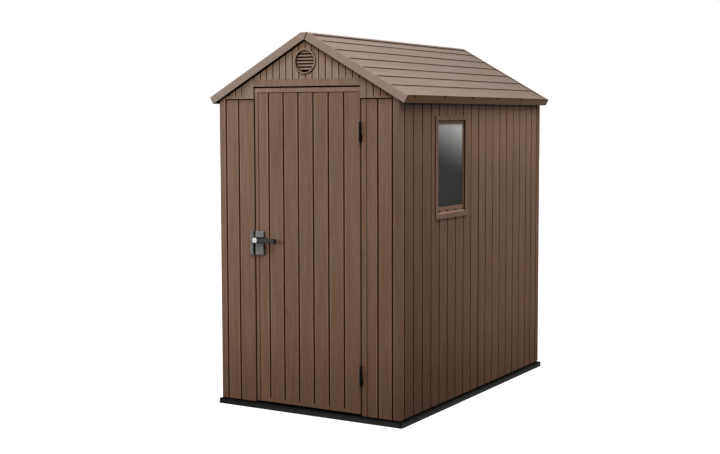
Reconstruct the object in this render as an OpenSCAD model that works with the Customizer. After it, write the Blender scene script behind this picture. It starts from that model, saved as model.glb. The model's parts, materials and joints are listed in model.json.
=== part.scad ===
// Moulded garden storage shed with a gable roof and one front door.
// Origin: centre of the underside of the floor. +X right, -Y front, +Z up.

/* [Floor] */
// Height of the floor base
base_h = 35; // [25:1:60]
// How far the base stands out beyond the side walls
base_side = 16; // [6:1:24]
// How far the base stands out beyond the front and rear walls
base_front = 10; // [6:1:12]
// How far the drip lip stands out at the foot of the base
base_lip = 2; // [1:0.5:10]
// Height of the drip lip
base_lip_h = 8; // [4:1:14]
// Chamfer along the top edge of the base
base_chamfer = 2; // [1:0.5:5]
// Radius of the corners of the base in plan
base_r = 4; // [2:1:20]
// Height of the set-back neck between the base and the walls
neck_h = 7; // [3:1:12]
// How far the neck lies behind the faces of the walls
neck_in = 6; // [2:1:10]

/* [Walls] */
// Width over the side walls
wall_w = 1146; // [950:1:1400]
// Depth over the front and rear walls
wall_d = 1812; // [1500:1:2200]
// Height of the eave edge above the ground
eave_z = 1712; // [1420:1:2060]
// Thickness of a wall panel
wall_t = 20; // [16:1:26]
// Width of a corner post on the front and rear
post_front = 45; // [36:1:60]
// Width of a corner post on the sides
post_side = 50; // [36:1:60]
// Radius of the outer edge of a corner post
post_r = 2.5; // [1:0.5:14]
// Spacing of the board grooves in the side walls
board_pitch = 96.6; // [70:0.1:130]
// Place of the seam between the two panels of a side wall
seam_y = 14; // [-60:1:60]
// Gap between two neighbouring panels
seam_gap = 3; // [1:0.5:5]
// Boards in each panel of the rear wall
rear_boards = 6; // [4:1:8]
// Width of a board groove at the surface
groove_w = 8.5; // [4:0.5:12]
// Width of the floor of a board groove
groove_floor = 5; // [2:0.5:6]
// Depth of a board groove
groove_t = 6; // [2:0.5:8]
// Width of the eased edge of a board beside a groove
ease_w = 7; // [3:0.5:10]
// Depth of the eased edge at the groove
ease_t = 0.8; // [0.4:0.1:1.5]

/* [Front] */
// Height of the underside of the header above the eave edge
header_rise = 56; // [30:1:70]
// Height of the plain header band over the door
header_h = 38; // [25:1:60]
// Distance from the eave edge down to the lower edge of the gable wings
wing_drop = 9.5; // [0:0.5:40]
// Height of the plain edge below the short grooves of the wings
wing_rail = 9.5; // [8:0.5:25]
// Height of the shadow groove in the wall panels below the gables
shadow_h = 6; // [3:1:12]
// Depth of this shadow groove
shadow_t = 5; // [2:0.5:8]
// How far the gable panel stands out from the wall below
gable_out = 3; // [1:0.5:5]
// Spacing of the fine grooves in the gable
gable_pitch = 41.75; // [30:0.25:60]
// Width of a gable groove
gable_groove_w = 6; // [3:0.5:8]
// Width of the floor of a gable groove
gable_groove_floor = 3; // [1:0.5:4]
// Depth of a gable groove
gable_groove_t = 4; // [2:0.5:6]
// Width of the eased edge beside a gable groove
gable_ease_w = 4; // [2:0.5:6]
// How far the gable laps over the gap on the hinge side of the door, above the wing edge
gap_lip = 3; // [1:0.5:5]
// Thickness of this lap
gap_lip_t = 1.5; // [1:0.5:2.5]
// Distance from the door opening to the step line of the right hand frame strip
frame_strip = 32; // [20:1:45]
// Width of the board beside the door opening
frame_board = 100; // [70:1:130]
// Spacing of the grooves beyond it, out to the corner post
front_board = 86; // [60:1:110]

/* [Vent] */
// Outer radius of the ring of the gable vent
vent_r = 67.5; // [50:0.5:80]
// Radial width of the ring on the face of the gable
vent_rim = 9.5; // [7:0.5:16]
// Thickness of the collar of the ring inside the round opening
vent_collar = 2; // [1:0.5:4]
// How far the ring stands out from the gable
vent_out = 9; // [4:1:14]
// Distance from the ridge down to the centre of the vent
vent_drop = 152; // [130:1:180]
// Number of louvre blades
blade_count = 6; // [4:1:8]
// Spacing of the louvre blades
blade_pitch = 17.4; // [12:0.1:24]
// How far the blades sit above the middle of the ring
blade_rise = 4; // [0:0.5:8]
// Height of the upright lip along the front of a blade
blade_lip_h = 8.5; // [4:0.5:12]
// Thickness of a louvre blade
blade_t = 2.5; // [2:0.5:4]
// Depth of a louvre blade from front to back
blade_d = 15.5; // [10:0.5:18]
// Slope of a louvre blade
blade_angle = 38; // [25:1:50]

/* [Roof] */
// Slope of the roof
roof_pitch = 29.17; // [22:0.01:35]
// How far the roof reaches beyond the side walls
eave_out = 52; // [35:1:80]
// How far the roof reaches beyond the front and rear walls
verge_out = 16.5; // [12:0.5:30]
// Width of the flat along the ridge
ridge_flat = 40; // [20:1:60]
// Thickness of a roof panel
roof_t = 22; // [16:1:30]
// Distance from the eave to the edge of the first shingle course
course_first = 127.5; // [90:0.5:140]
// Distance between the edges of two shingle courses
course_pitch = 96.3; // [75:0.1:120]
// How far the edge of a shingle course stands out
course_step = 5; // [2:0.5:8]
// How far the ridge cap reaches down each slope beyond the flat
cap_cover = 16.5; // [10:0.5:40]
// Thickness of the ridge cap
cap_t = 3; // [2:0.5:5]
// Depth of the verge trim and of the eave fascia
trim_h = 41; // [30:1:55]
// Thickness of the verge trim
trim_t = 8; // [5:0.5:12]
// How far the trim laps over the roof panel
trim_lap = 5; // [3:0.5:10]
// Gap of the slanted seam where two verge trims meet, along X
apex_gap = 3; // [1:0.5:5]
// Thickness of the eave fascia
fascia_t = 10; // [6:0.5:14]
// Play between a roof panel and what it rests on, and under the cap and trims that lie on it
roof_play = 0.1; // [0.05:0.05:0.5]
// Spacing of the drain notches along the eave
notch_pitch = 335; // [250:1:420]
// Width of a drain notch
notch_w = 14; // [6:1:24]
// Depth of a drain notch
notch_h = 12; // [3:0.5:16]

/* [Door] */
// Width of the door leaf
door_w = 670; // [520:1:760]
// Sideways offset of the door from the middle of the front
door_shift = 2; // [-20:1:20]
// Thickness of the door leaf
door_t = 20; // [16:1:26]
// Gap round the door leaf
door_gap = 7; // [5:0.5:10]
// Distance from the left edge of the door to its first groove
door_stile = 91; // [70:1:120]
// Spacing of the grooves in the door
door_pitch = 95.6; // [70:0.1:110]
// Height of the top rail of the door
door_top_rail = 28; // [15:1:40]
// Height of the bottom rail of the door
door_foot_rail = 23; // [15:1:40]
// Width of the narrow raised rim at the left edge of the door
door_rim = 23; // [15:1:40]
// Width of the eased outer edge of the door
door_ease = 2; // [1:0.5:4]
// Width of the steep side of a step line on the front
step_riser = 2.5; // [1:0.5:4]
// Width of the long slope of a step line
step_slope = 12; // [4:1:20]
// Depth of a step line
step_t = 2.5; // [1:0.5:4]

/* [Hinges] */
// Radius of a hinge knuckle
knuckle_r = 8.5; // [7:0.5:10]
// Distance from the wall face out to the hinge axis
hinge_out = 9.5; // [9:0.5:14]
// Distance from the top of the door down to the middle of the upper hinge
hinge_drop = 232; // [120:1:400]
// Height of the middle of the lower hinge
hinge_lower_z = 251; // [150:1:400]
// Height of the lower knuckle, which is fixed to the wall
frame_knuckle_h = 38; // [25:1:50]
// Height of the middle knuckle, which is fixed to the door
door_knuckle_h = 42; // [25:1:50]
// Height of the cap on top of the pin
pin_cap_h = 24; // [10:1:30]
// Radius of the cap on top of the pin
pin_cap_r = 6.5; // [5:0.5:8]
// Radius of a hinge pin
pin_r = 4; // [3:0.5:5]
// Radial play of a hinge pin in its knuckles
pin_play = 0.1; // [0.05:0.05:0.3]
// Play between two knuckles, end to end
knuckle_play = 0.5; // [0.3:0.1:1]
// Width of the foot of a knuckle, beside the gap
foot_w = 6; // [4:1:12]

/* [Handle] */
// Height of the lever axis above the ground
lever_z = 934; // [800:1:1100]
// Distance from the left edge of the door to the lever axis
lever_x = 15; // [14:1:30]
// Width of the lock plate on the door
plate_w = 56; // [45:1:80]
// Height of the lock plate and of the keeper plate
plate_h = 131; // [100:1:160]
// Thickness of the lock plate and of the keeper plate
plate_t = 13; // [8:1:18]
// Bevel round the lock plate
plate_bevel = 4; // [2:0.5:6]
// Distance from the left edge of the door to the lock plate
plate_x = 4; // [2:0.5:10]
// How far the lever axis lies above the middle of the plate
lever_rise = 17; // [0:1:30]
// Width of the keeper plate on the wall
keeper_w = 24; // [16:1:36]
// Gap between the lock plate and the lever
lever_gap = 5.5; // [5:0.5:10]
// Length of the lever from its axis to its tip
lever_l = 133; // [100:1:160]
// Height of the lever bar
lever_h = 23; // [14:1:28]
// Thickness of the lever bar
lever_t = 13; // [8:1:18]
// Length of the high root of the lever from its axis
root_l = 56; // [40:1:80]
// How far the root rises above the bar at its end
root_rise = 6; // [0:0.5:8]
// Radius of the hub of the lever
hub_r = 16.5; // [12:0.5:18]
// Radius of the round lock in the hub
lock_r = 15; // [9:0.5:16]
// Radius of the lever spindle
spindle_r = 5; // [4:0.5:7]
// Radial play of the lever spindle
spindle_play = 0.2; // [0.1:0.1:0.5]
// Distance from the end of the spindle to the face of the door
spindle_end = 3; // [1:0.5:5]
// Height of the key slot in the lock
key_h = 14; // [6:1:16]
// Width of the key slot in the lock
key_w = 2; // [1:0.5:3]

/* [Window] */
// Distance from the front wall face to the near edge of the window frame
window_y = 384; // [300:1:480]
// Width of the window frame
window_w = 378; // [260:1:440]
// Height of the window frame
window_h = 559; // [400:1:640]
// Distance from the eave edge down to the top of the window frame
window_drop = 101; // [80:1:300]
// Width of the face of the frame at the sides
window_side = 25; // [12:1:30]
// Width of the face of the frame at the top and the foot
window_rail = 25; // [15:1:35]
// How far the frame stands out from the wall
window_out = 6; // [3:0.5:10]
// Depth of the channel round the bead, from the face of the frame
channel_t = 12; // [9:0.5:16]
// Width of this channel at the sides and the top
channel_w = 3; // [2:0.5:6]
// How far the bead rises from the floor of the channel
bead_rise = 3; // [1:0.5:6]
// Distance from the side of the recess to the glass
bead_w = 16.5; // [10:0.5:24]
// Distance from the top of the recess to the glass
bead_top = 20; // [10:1:26]
// Height of the bead under the glass
bead_foot = 27; // [15:1:36]
// How far the glass lies behind the bead
glass_in = 3; // [1:0.5:4]
// Thickness of the glass
glass_t = 4; // [3:0.5:6]
// Fall of the sloping sill, from the bead out to the face
sill_fall = 12; // [5:1:20]
// Width of a drain slot above the sill
slot_w = 40; // [12:1:50]
// Height of a drain slot above the sill
slot_h = 6; // [3:0.5:8]
// Depth of a drain slot above the sill
slot_t = 8; // [4:0.5:10]

/* [Hidden] */

$fn = 48;
eps = 0.01;

// Colours
brown = [0.36, 0.27, 0.22];
roof_brown = [0.52, 0.45, 0.40];
base_black = [0.12, 0.12, 0.12];
plate_grey = [0.42, 0.42, 0.42];
lever_black = [0.10, 0.10, 0.10];

// Walls
front_y = -wall_d / 2;
side_x = wall_w / 2;
panel_x = side_x - post_front;
panel_y = wall_d / 2 - post_side;

// Heights that follow the eave
header_z = eave_z + header_rise;
wing_z = eave_z - wing_drop;
window_z = eave_z - window_drop - window_h;

// Roof: s is measured up the slope from the eave, e inwards from the outer surface, square to the slope
roof_w = wall_w + 2 * eave_out;
roof_d = wall_d + 2 * verge_out;
ridge_z = eave_z + (roof_w - ridge_flat) / 2 * tan(roof_pitch);
slope_l = (roof_w - ridge_flat) / 2 / cos(roof_pitch);
function roof_z(x, e) = ridge_z - (abs(x) - ridge_flat / 2) * tan(roof_pitch) - e / cos(roof_pitch);
function flat_x(e) = ridge_flat / 2 - e * (1 / cos(roof_pitch) - 1) / tan(roof_pitch);
soffit_e = cap_t + roof_t;
face_e = cap_t + roof_play;
panel_d = roof_d - 2 * trim_t;
course_count = floor((slope_l - cap_cover - course_first - 0.5 * course_pitch) / course_pitch) + 1;

// Door
door_x0 = door_shift - door_w / 2;
door_x1 = door_shift + door_w / 2;
door_z0 = base_h + door_gap;
door_z1 = header_z - door_gap;
opening_x0 = door_x0 - door_gap;
opening_x1 = door_x1 + door_gap;
strip_x = opening_x1 + frame_strip;
board_x = door_w / 2 + door_gap + frame_board;
door_grooves = floor((door_w - door_stile) / door_pitch + 0.5);

// Hinges
hinge_x = door_x1 + door_gap / 2;
hinge_y = front_y - hinge_out;
hinge_upper_z = door_z1 - hinge_drop;
hinge_h = frame_knuckle_h + knuckle_play + door_knuckle_h + knuckle_play + pin_cap_h;

// Vent
vent_z = ridge_z - vent_drop;
vent_in_r = vent_r - vent_rim;
louvre_r = vent_in_r - vent_collar;

// Handle
lever_axis_x = door_x0 + lever_x;
plate_z0 = lever_z - plate_h / 2 - lever_rise;
plate_face_y = front_y - plate_t;
lever_back_y = plate_face_y - lever_gap;
lever_face_y = lever_back_y - lever_t;

// Window
window_y0 = front_y + window_y;
window_y1 = window_y0 + window_w;
window_z1 = window_z + window_h;
recess_y0 = window_y0 + window_side;
recess_y1 = window_y1 - window_side;
recess_z0 = window_z + window_rail;
recess_z1 = window_z1 - window_rail;
light_y0 = recess_y0 + bead_w;
light_y1 = recess_y1 - bead_w;
channel_x = side_x + window_out - channel_t;
bead_x = channel_x + bead_rise;
glass_x = bead_x - glass_in;
light_z0 = recess_z0 + sill_fall + bead_foot;
light_z1 = recess_z1 - bead_top;
frame_seat = 4;
glass_seat = 5;

// A groove cutter along +Z, cut into a face whose outside is -Y, with the eased edges of the boards beside it
module groove(h, w = groove_w, floor_w = groove_floor, t = groove_t, ease = ease_w) {
  half = [[floor_w / 2, t], [w / 2, ease_t], [w / 2 + ease, 0], [w / 2 + ease, -1]];
  linear_extrude(height = h) polygon(concat(half, [for (i = [3 : -1 : 0]) [-half[i][0], half[i][1]]]));
}

// The same cutter on the front face at x, from z0 up
module front_groove(x, z0, h) {
  translate([x, front_y, z0]) groove(h);
}

// The same cutter on the right hand side face at y
module side_groove(y) {
  translate([side_x, y, base_h - 1]) rotate([0, 0, 90]) groove(eave_z);
}

// A step line along +Z in the front face: a steep riser down and a long slope back up
module step_line(x, z0, h, y = front_y) {
  translate([x, y, z0]) linear_extrude(height = h)
    polygon([[-step_riser, -1], [-step_riser, 0], [0, step_t], [step_slope, 0], [step_slope, -1]]);
}

// Everything that lies under the soffit of the roof panels
module under_roof() {
  top = roof_z(0, soffit_e + roof_play);
  low = roof_z(roof_w / 2, soffit_e + roof_play);
  translate([0, roof_d / 2, 0]) rotate([90, 0, 0]) linear_extrude(height = roof_d)
    polygon([[-roof_w / 2, 0], [roof_w / 2, 0], [roof_w / 2, low], [0, top], [-roof_w / 2, low]]);
}

// ---- Floor ----

// Outline of the base in plan, with rounded corners
module base_plan(grow, r) {
  x = side_x + base_side + grow - r;
  y = wall_d / 2 + base_front + grow - r;
  square([2 * x, 2 * (y + r)], center = true);
  square([2 * (x + r), 2 * y], center = true);
  for (i = [-1, 1], j = [-1, 1]) translate([i * x, j * y]) circle(r);
}

// Section across the base below the neck, with its top edge chamfered
module base_section(half) {
  top = base_h - neck_h;
  polygon([[-half, -1], [half, -1], [half, top - base_chamfer], [half - base_chamfer, top],
    [-half + base_chamfer, top], [-half, top - base_chamfer]]);
}

module floor() {
  x = side_x + base_side;
  y = wall_d / 2 + base_front;
  color(base_black) {
    intersection() {
      linear_extrude(height = base_h) base_plan(0, base_r);
      translate([0, y + 1, 0]) rotate([90, 0, 0]) linear_extrude(height = 2 * y + 2) base_section(x);
      translate([-x - 1, 0, 0]) rotate([90, 0, 90]) linear_extrude(height = 2 * x + 2) base_section(y);
    }
    linear_extrude(height = base_lip_h) base_plan(base_lip, base_r + base_lip);
    translate([neck_in - side_x, front_y + neck_in, base_lip_h])
      cube([wall_w - 2 * neck_in, wall_d - 2 * neck_in, base_h - base_lip_h]);
  }
}

// ---- Walls ----

// One corner post in plan, at the corner of the -X and -Y faces
module post_plan() {
  difference() {
    union() {
      translate([post_r, 0]) square([post_front - post_r, wall_t + post_r]);
      translate([0, post_r]) square([wall_t + post_r, post_side - post_r]);
      translate([post_r, post_r]) circle(post_r);
    }
    translate([wall_t, wall_t]) square([post_front, post_side]);
  }
}

// A corner post at the front left, with the halves of its two seam grooves
module corner_post() {
  color(brown) intersection() {
    difference() {
      translate([-side_x, front_y, base_h]) linear_extrude(height = ridge_z) post_plan();
      front_groove(-panel_x, base_h - 1, ridge_z);
      mirror([1, 0, 0]) side_groove(-panel_y);
    }
    under_roof();
  }
}

// A wall panel on the front or the rear up to the gable, with the shadow groove along its top
module front_panel(x0, x1) {
  difference() {
    translate([x0, front_y, base_h]) cube([x1 - x0, wall_t, wing_z - base_h]);
    translate([x0 - 1, front_y - 1, wing_z - shadow_h]) cube([x1 - x0 + 2, shadow_t + 1, shadow_h + 1]);
  }
}

// Grooves on the front from the board beside the opening out to the seam; side = 1 on the right
module front_board_grooves(side) {
  for (x = [board_x : front_board : panel_x - 1]) front_groove(side * x, base_h - 1, wing_z);
  front_groove(side * panel_x, base_h - 1, wing_z);
}

module front_wall_left() {
  color(brown) difference() {
    front_panel(-panel_x, opening_x0);
    front_board_grooves(-1);
  }
}

module front_wall_right() {
  color(brown) difference() {
    front_panel(opening_x1, panel_x);
    front_board_grooves(1);
    step_line(strip_x, base_h - 1, wing_z);
  }
}

// One panel of a side wall, right hand side, between y0 and y1
module side_panel(y0, y1) {
  intersection() {
    translate([side_x - wall_t, y0, base_h]) cube([wall_t, y1 - y0, eave_z]);
    under_roof();
  }
}

// Front panel of a side wall, with boards of one width from the corner post on
module side_wall_front() {
  length = seam_y - seam_gap / 2 + panel_y;
  boards = round(length / board_pitch);
  difference() {
    side_panel(-panel_y, seam_y - seam_gap / 2);
    for (i = [0 : boards - 1]) side_groove(-panel_y + i * board_pitch);
  }
}

// Rear panel of a side wall: the last two boards share what is left
module side_wall_rear() {
  full = floor((panel_y - seam_y) / board_pitch) - 1;
  rest = panel_y - seam_y - full * board_pitch;
  difference() {
    side_panel(seam_y + seam_gap / 2, panel_y);
    for (i = [1 : full]) side_groove(seam_y + i * board_pitch);
    side_groove(panel_y - rest / 2);
    side_groove(panel_y);
  }
}

module right_wall_front() {
  color(brown) difference() {
    side_wall_front();
    window_hole(side_x - wall_t - 1, side_x + 1);
  }
}

module right_wall_rear() { color(brown) side_wall_rear(); }
module left_wall_front() { color(brown) mirror([1, 0, 0]) side_wall_front(); }
module left_wall_rear() { color(brown) mirror([1, 0, 0]) side_wall_rear(); }

// Left panel of the rear wall as seen from the front; the rear face is +Y
module rear_panel() {
  pitch = panel_x / rear_boards;
  mirror([0, 1, 0]) difference() {
    front_panel(-panel_x, -seam_gap / 2);
    for (i = [0 : rear_boards - 1]) front_groove(-panel_x + i * pitch, base_h - 1, wing_z);
  }
}

module rear_wall_left() { color(brown) rear_panel(); }
module rear_wall_right() { color(brown) mirror([1, 0, 0]) rear_panel(); }

// ---- Gables ----

// Triangular panel from z0 up to the soffit
module gable_blank(z0) {
  intersection() {
    translate([-panel_x, front_y - gable_out, z0]) cube([2 * panel_x, wall_t + gable_out, ridge_z - z0]);
    under_roof();
  }
}

// A gable groove at x from z0 up
module gable_groove(x, z0) {
  translate([x, front_y - gable_out, z0])
    groove(ridge_z, gable_groove_w, gable_groove_floor, gable_groove_t, gable_ease_w);
}

// Fine grooves of the gable: full ones over the header and short ones in the wings
module gable_grooves() {
  inner = floor((door_w / 2 + door_gap) / gable_pitch);
  outer = floor((panel_x - gable_pitch / 2) / gable_pitch);
  for (i = [-inner : inner]) gable_groove(i * gable_pitch, header_z + header_h);
  for (i = [inner + 2 : outer], side = [-1, 1]) gable_groove(side * i * gable_pitch, wing_z + wing_rail);
}

// The round opening behind the vent
module vent_hole() {
  translate([0, front_y + wall_t + 1, vent_z]) rotate([90, 0, 0])
    cylinder(h = wall_t + gable_out + 2, r = vent_in_r);
}

// The door opening between the wings of the front gable, from y0 inwards, up to x1
module gable_opening(y0, x1) {
  translate([opening_x0, y0, wing_z - 1])
    cube([x1 - opening_x0, wall_t + gable_out + 2, header_z - wing_z + 1]);
}

// Front gable: its wings run down on both sides of the door, below the underside of the header
module front_gable() {
  color(brown) difference() {
    gable_blank(wing_z);
    gable_opening(front_y - gable_out - 1, opening_x1 - gap_lip);
    gable_opening(front_y - gable_out + gap_lip_t, opening_x1);
    gable_grooves();
    step_line(strip_x, wing_z - 1, ridge_z, front_y - gable_out);
    vent_hole();
  }
}

module rear_gable() {
  color(brown) mirror([0, 1, 0]) difference() {
    gable_blank(wing_z);
    gable_grooves();
    vent_hole();
  }
}

// ---- Vent ----

// Ring: a rounded bead that seats on the gable, and a collar that lines its round opening
module vent_ring() {
  bead_r = (vent_rim + vent_collar) / 2;
  color(brown) translate([0, front_y - gable_out, vent_z]) rotate([90, 0, 0]) rotate_extrude() {
    translate([louvre_r, -wall_t - gable_out]) square([vent_collar - eps, wall_t + gable_out + 1]);
    translate([louvre_r, 0]) square([2 * bead_r, vent_out - bead_r]);
    translate([louvre_r + bead_r, vent_out - bead_r]) intersection() {
      circle(bead_r);
      translate([-bead_r, 0]) square([2 * bead_r, bead_r]);
    }
  }
}

// Section of a louvre blade: an upright lip in front and a blade that slopes up and back from its top
module blade_section() {
  rise = blade_d * tan(blade_angle);
  top = blade_lip_h / 2;
  foot = top - blade_t / cos(blade_angle);
  translate([0, -top]) square([blade_t, blade_lip_h]);
  polygon([[0, foot], [0, top], [blade_d, top + rise], [blade_d, foot + rise]]);
}

// Blades inside the ring, their lips just behind the face of the gable
module vent_louvres() {
  mid_z = vent_z + blade_rise;
  color(brown) intersection() {
    translate([0, front_y + wall_t, vent_z]) rotate([90, 0, 0])
      cylinder(h = wall_t + gable_out, r = louvre_r - eps);
    for (i = [0 : blade_count - 1])
      translate([-vent_r, front_y - gable_out + 1, mid_z + (i - (blade_count - 1) / 2) * blade_pitch])
        rotate([90, 0, 90]) linear_extrude(height = 2 * vent_r) blade_section();
  }
}

module front_vent_ring() { vent_ring(); }
module front_vent_louvres() { vent_louvres(); }
module rear_vent_ring() { mirror([0, 1, 0]) vent_ring(); }
module rear_vent_louvres() { mirror([0, 1, 0]) vent_louvres(); }

// ---- Roof ----

// A point of the right hand slope: s up from the eave, e in from the outer surface
function slope_pt(s, e) = [roof_w / 2 - s * cos(roof_pitch) - e * sin(roof_pitch),
  eave_z + s * sin(roof_pitch) - e * cos(roof_pitch)];

// Edge of shingle course i, measured up from the eave
function course_s(i) = course_first + i * course_pitch;

// Section of the right hand roof panel: every course runs up under the next one
module roof_section() {
  courses = [for (i = [0 : course_count - 1], k = [0, 1])
    slope_pt(course_s(i), face_e + (1 - k) * course_step)];
  low_s = fascia_t + roof_play;
  top_s = slope_l - cap_cover;
  far_s = slope_l + roof_w / 20;
  intersection() {
    polygon(concat([slope_pt(low_s, soffit_e), slope_pt(low_s, face_e)], courses,
      [slope_pt(top_s, face_e + course_step), slope_pt(top_s, face_e), slope_pt(far_s, face_e),
        slope_pt(far_s, soffit_e)]));
    square([roof_w / 2, ridge_z - face_e]);
  }
}

// Lay a section drawn in X and Z along Y, between -length / 2 and length / 2
module along_y(length) {
  translate([0, length / 2, 0]) rotate([90, 0, 0]) linear_extrude(height = length) children();
}

module roof_panel() { color(roof_brown) along_y(panel_d) roof_section(); }

// Ridge cap: a flat and two wings, between the flanges of the verge trims
module ridge_cap() {
  tip_x = ridge_flat / 2 + cap_cover * cos(roof_pitch);
  half = [[ridge_flat / 2, ridge_z], [tip_x, roof_z(tip_x, 0)], [tip_x, roof_z(tip_x, cap_t)],
    [flat_x(cap_t), ridge_z - cap_t]];
  color(roof_brown) along_y(panel_d - 2 * trim_lap)
    polygon(concat(half, [for (i = [3 : -1 : 0]) [-half[i][0], half[i][1]]]));
}

// Section of a right hand verge trim, e1 deep, from the first distance in s_list up and on over the ridge
module verge_section(s_list, e1) {
  polygon(concat([slope_pt(s_list[0], e1)], [for (s = s_list) slope_pt(s, 0)], [[ridge_flat / 2, ridge_z],
    [-ridge_flat, ridge_z], [-ridge_flat, ridge_z - e1], [flat_x(e1), ridge_z - e1]]));
}

// All that lies to the right of the slanted seam between two trims, moved sideways by g
module right_of_seam(g) {
  translate([g, 0]) polygon([[-ridge_flat / 2, 0], [-ridge_flat / 2, ridge_z - 2 * trim_h],
    [ridge_flat, ridge_z + trim_h], [roof_w, ridge_z + trim_h], [roof_w, 0]]);
}

// Section of a verge trim up to the seam: the left hand one takes the end of the ridge
module trim_section(side, s_list, e1) {
  if (side > 0) intersection() {
    verge_section(s_list, e1);
    right_of_seam(apex_gap / 2);
  }
  else difference() {
    mirror([1, 0, 0]) verge_section(s_list, e1);
    right_of_seam(-apex_gap / 2);
  }
}

// Front verge trim, side = 1 on the right: a face board and a flange that laps over the roof panel
module verge_trim(side) {
  color(roof_brown) translate([0, -panel_d / 2, 0]) rotate([90, 0, 0]) {
    linear_extrude(height = trim_t) trim_section(side, [0, fascia_t], trim_h);
    translate([0, 0, -trim_lap]) linear_extrude(height = trim_lap + 1) trim_section(side, [fascia_t], cap_t);
  }
}

// Right hand fascia, square to the slope, with drain notches in its top edge
module eave_fascia() {
  count = floor((panel_d - notch_w) / notch_pitch);
  color(roof_brown) difference() {
    along_y(panel_d) polygon([slope_pt(0, 0), slope_pt(0, trim_h), slope_pt(fascia_t, trim_h), slope_pt(fascia_t, 0)]);
    for (i = [0 : count])
      translate([roof_w / 2, (i - count / 2) * notch_pitch, eave_z]) rotate([0, roof_pitch, 0])
        translate([-fascia_t / 2, -notch_w / 2, -notch_h]) cube([fascia_t, notch_w, 2 * notch_h]);
  }
}

module roof_right() { roof_panel(); }
module roof_left() { mirror([1, 0, 0]) roof_panel(); }
module verge_trim_front_right() { verge_trim(1); }
module verge_trim_front_left() { verge_trim(-1); }
module verge_trim_rear_right() { rotate([0, 0, 180]) verge_trim(-1); }
module verge_trim_rear_left() { rotate([0, 0, 180]) verge_trim(1); }
module eave_fascia_right() { eave_fascia(); }
module eave_fascia_left() { mirror([1, 0, 0]) eave_fascia(); }

module corner_post_front_left() { corner_post(); }
module corner_post_front_right() { mirror([1, 0, 0]) corner_post(); }
module corner_post_rear_left() { mirror([0, 1, 0]) corner_post(); }
module corner_post_rear_right() { mirror([1, 0, 0]) mirror([0, 1, 0]) corner_post(); }

// ---- Window ----

// The hole in the wall that the frame fills, between x0 and x1
module window_hole(x0, x1) {
  translate([x0, recess_y0 - frame_seat, recess_z0 - frame_seat])
    cube([x1 - x0, recess_y1 - recess_y0 + 2 * frame_seat, recess_z1 - recess_z0 + 2 * frame_seat]);
}

// The channel round the bead, along both sides and the top of the recess
module bead_channel() {
  y = recess_y1 - recess_y0;
  z = recess_z1 - recess_z0 - sill_fall;
  translate([channel_x, recess_y0, recess_z0 + sill_fall]) difference() {
    cube([bead_rise + 1, y, z]);
    translate([-1, channel_w, -1]) cube([bead_rise + 3, y - 2 * channel_w, z + 1 - channel_w]);
  }
}

// The light through the frame, grown by g, between x0 and x1
module light(x0, x1, g) {
  translate([x0, light_y0 - g, light_z0 - g])
    cube([x1 - x0, light_y1 - light_y0 + 2 * g, light_z1 - light_z0 + 2 * g]);
}

// Frame: a proud face, a recess with a bead round the glass, and a sloping sill with drain slots
module window_frame() {
  face_x = side_x + window_out;
  color(brown) difference() {
    union() {
      translate([side_x, window_y0, window_z]) cube([window_out, window_w, window_h]);
      window_hole(side_x - wall_t, side_x + 1);
    }
    translate([0, recess_y1, 0]) rotate([90, 0, 0]) linear_extrude(height = recess_y1 - recess_y0)
      polygon([[bead_x, recess_z0 + sill_fall], [bead_x, recess_z1], [face_x + 1, recess_z1],
        [face_x + 1, recess_z0]]);
    bead_channel();
    light(side_x - wall_t - 1, side_x + 1, 0);
    light(glass_x - glass_t, glass_x, glass_seat);
    // Drain slots over the sill, in line with the board grooves
    for (y = [-panel_y + board_pitch : board_pitch : seam_y])
      if (y > recess_y0 && y < recess_y1)
        translate([bead_x - slot_t, y - slot_w / 2, recess_z0 + sill_fall])
          cube([slot_t + 1, min(slot_w, recess_y1 - y + slot_w / 2), slot_h]);
  }
}

module window_glass() {
  color([0.5, 0.52, 0.54, 0.6]) light(glass_x - glass_t, glass_x, glass_seat);
}

// ---- Door ----

// Section of the leaf over a width w from a, with its two outer edges eased
module leaf_section(a, w) {
  polygon([[a, front_y + door_t], [a, front_y + door_ease], [a + door_ease, front_y],
    [a + w - door_ease, front_y], [a + w, front_y + door_ease], [a + w, front_y + door_t]]);
}

// The leaf without its grooves: both sections cut each other
module door_blank() {
  h = door_z1 - door_z0;
  intersection() {
    translate([0, 0, door_z0]) linear_extrude(height = h) leaf_section(door_x0, door_w);
    translate([door_x1 + 1, 0, 0]) rotate([0, -90, 0]) linear_extrude(height = door_w + 2) leaf_section(door_z0, h);
  }
}

module door_leaf() {
  z0 = door_z0 + door_foot_rail;
  h = door_z1 - door_top_rail - z0;
  color(brown) difference() {
    door_blank();
    for (i = [0 : door_grooves - 1]) front_groove(door_x0 + door_stile + i * door_pitch, z0, h);
    step_line(door_x0 + door_rim, door_z0 - 1, door_z1 - door_top_rail - door_z0 + 1);
    translate([0, 0, door_z1 - door_top_rail]) rotate([0, 90, 0]) step_line(0, door_x0 + door_rim, door_w - 2 * door_rim);
  }
}

// ---- Hinges ----

// A knuckle on its foot; side = -1 stands on the door and side = 1 on the wall
module knuckle(z0, h, side) {
  translate([hinge_x, hinge_y, z0]) linear_extrude(height = h) difference() {
    union() {
      circle(knuckle_r);
      translate([side > 0 ? door_gap / 2 : -door_gap / 2 - foot_w, 0]) square([foot_w, hinge_out]);
    }
    circle(pin_r + pin_play);
  }
}

// Heights of the three parts of a hinge whose middle is at z
function frame_knuckle_z(z) = z - hinge_h / 2;
function door_knuckle_z(z) = frame_knuckle_z(z) + frame_knuckle_h + knuckle_play;
function pin_cap_z(z) = door_knuckle_z(z) + door_knuckle_h + knuckle_play;

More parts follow.
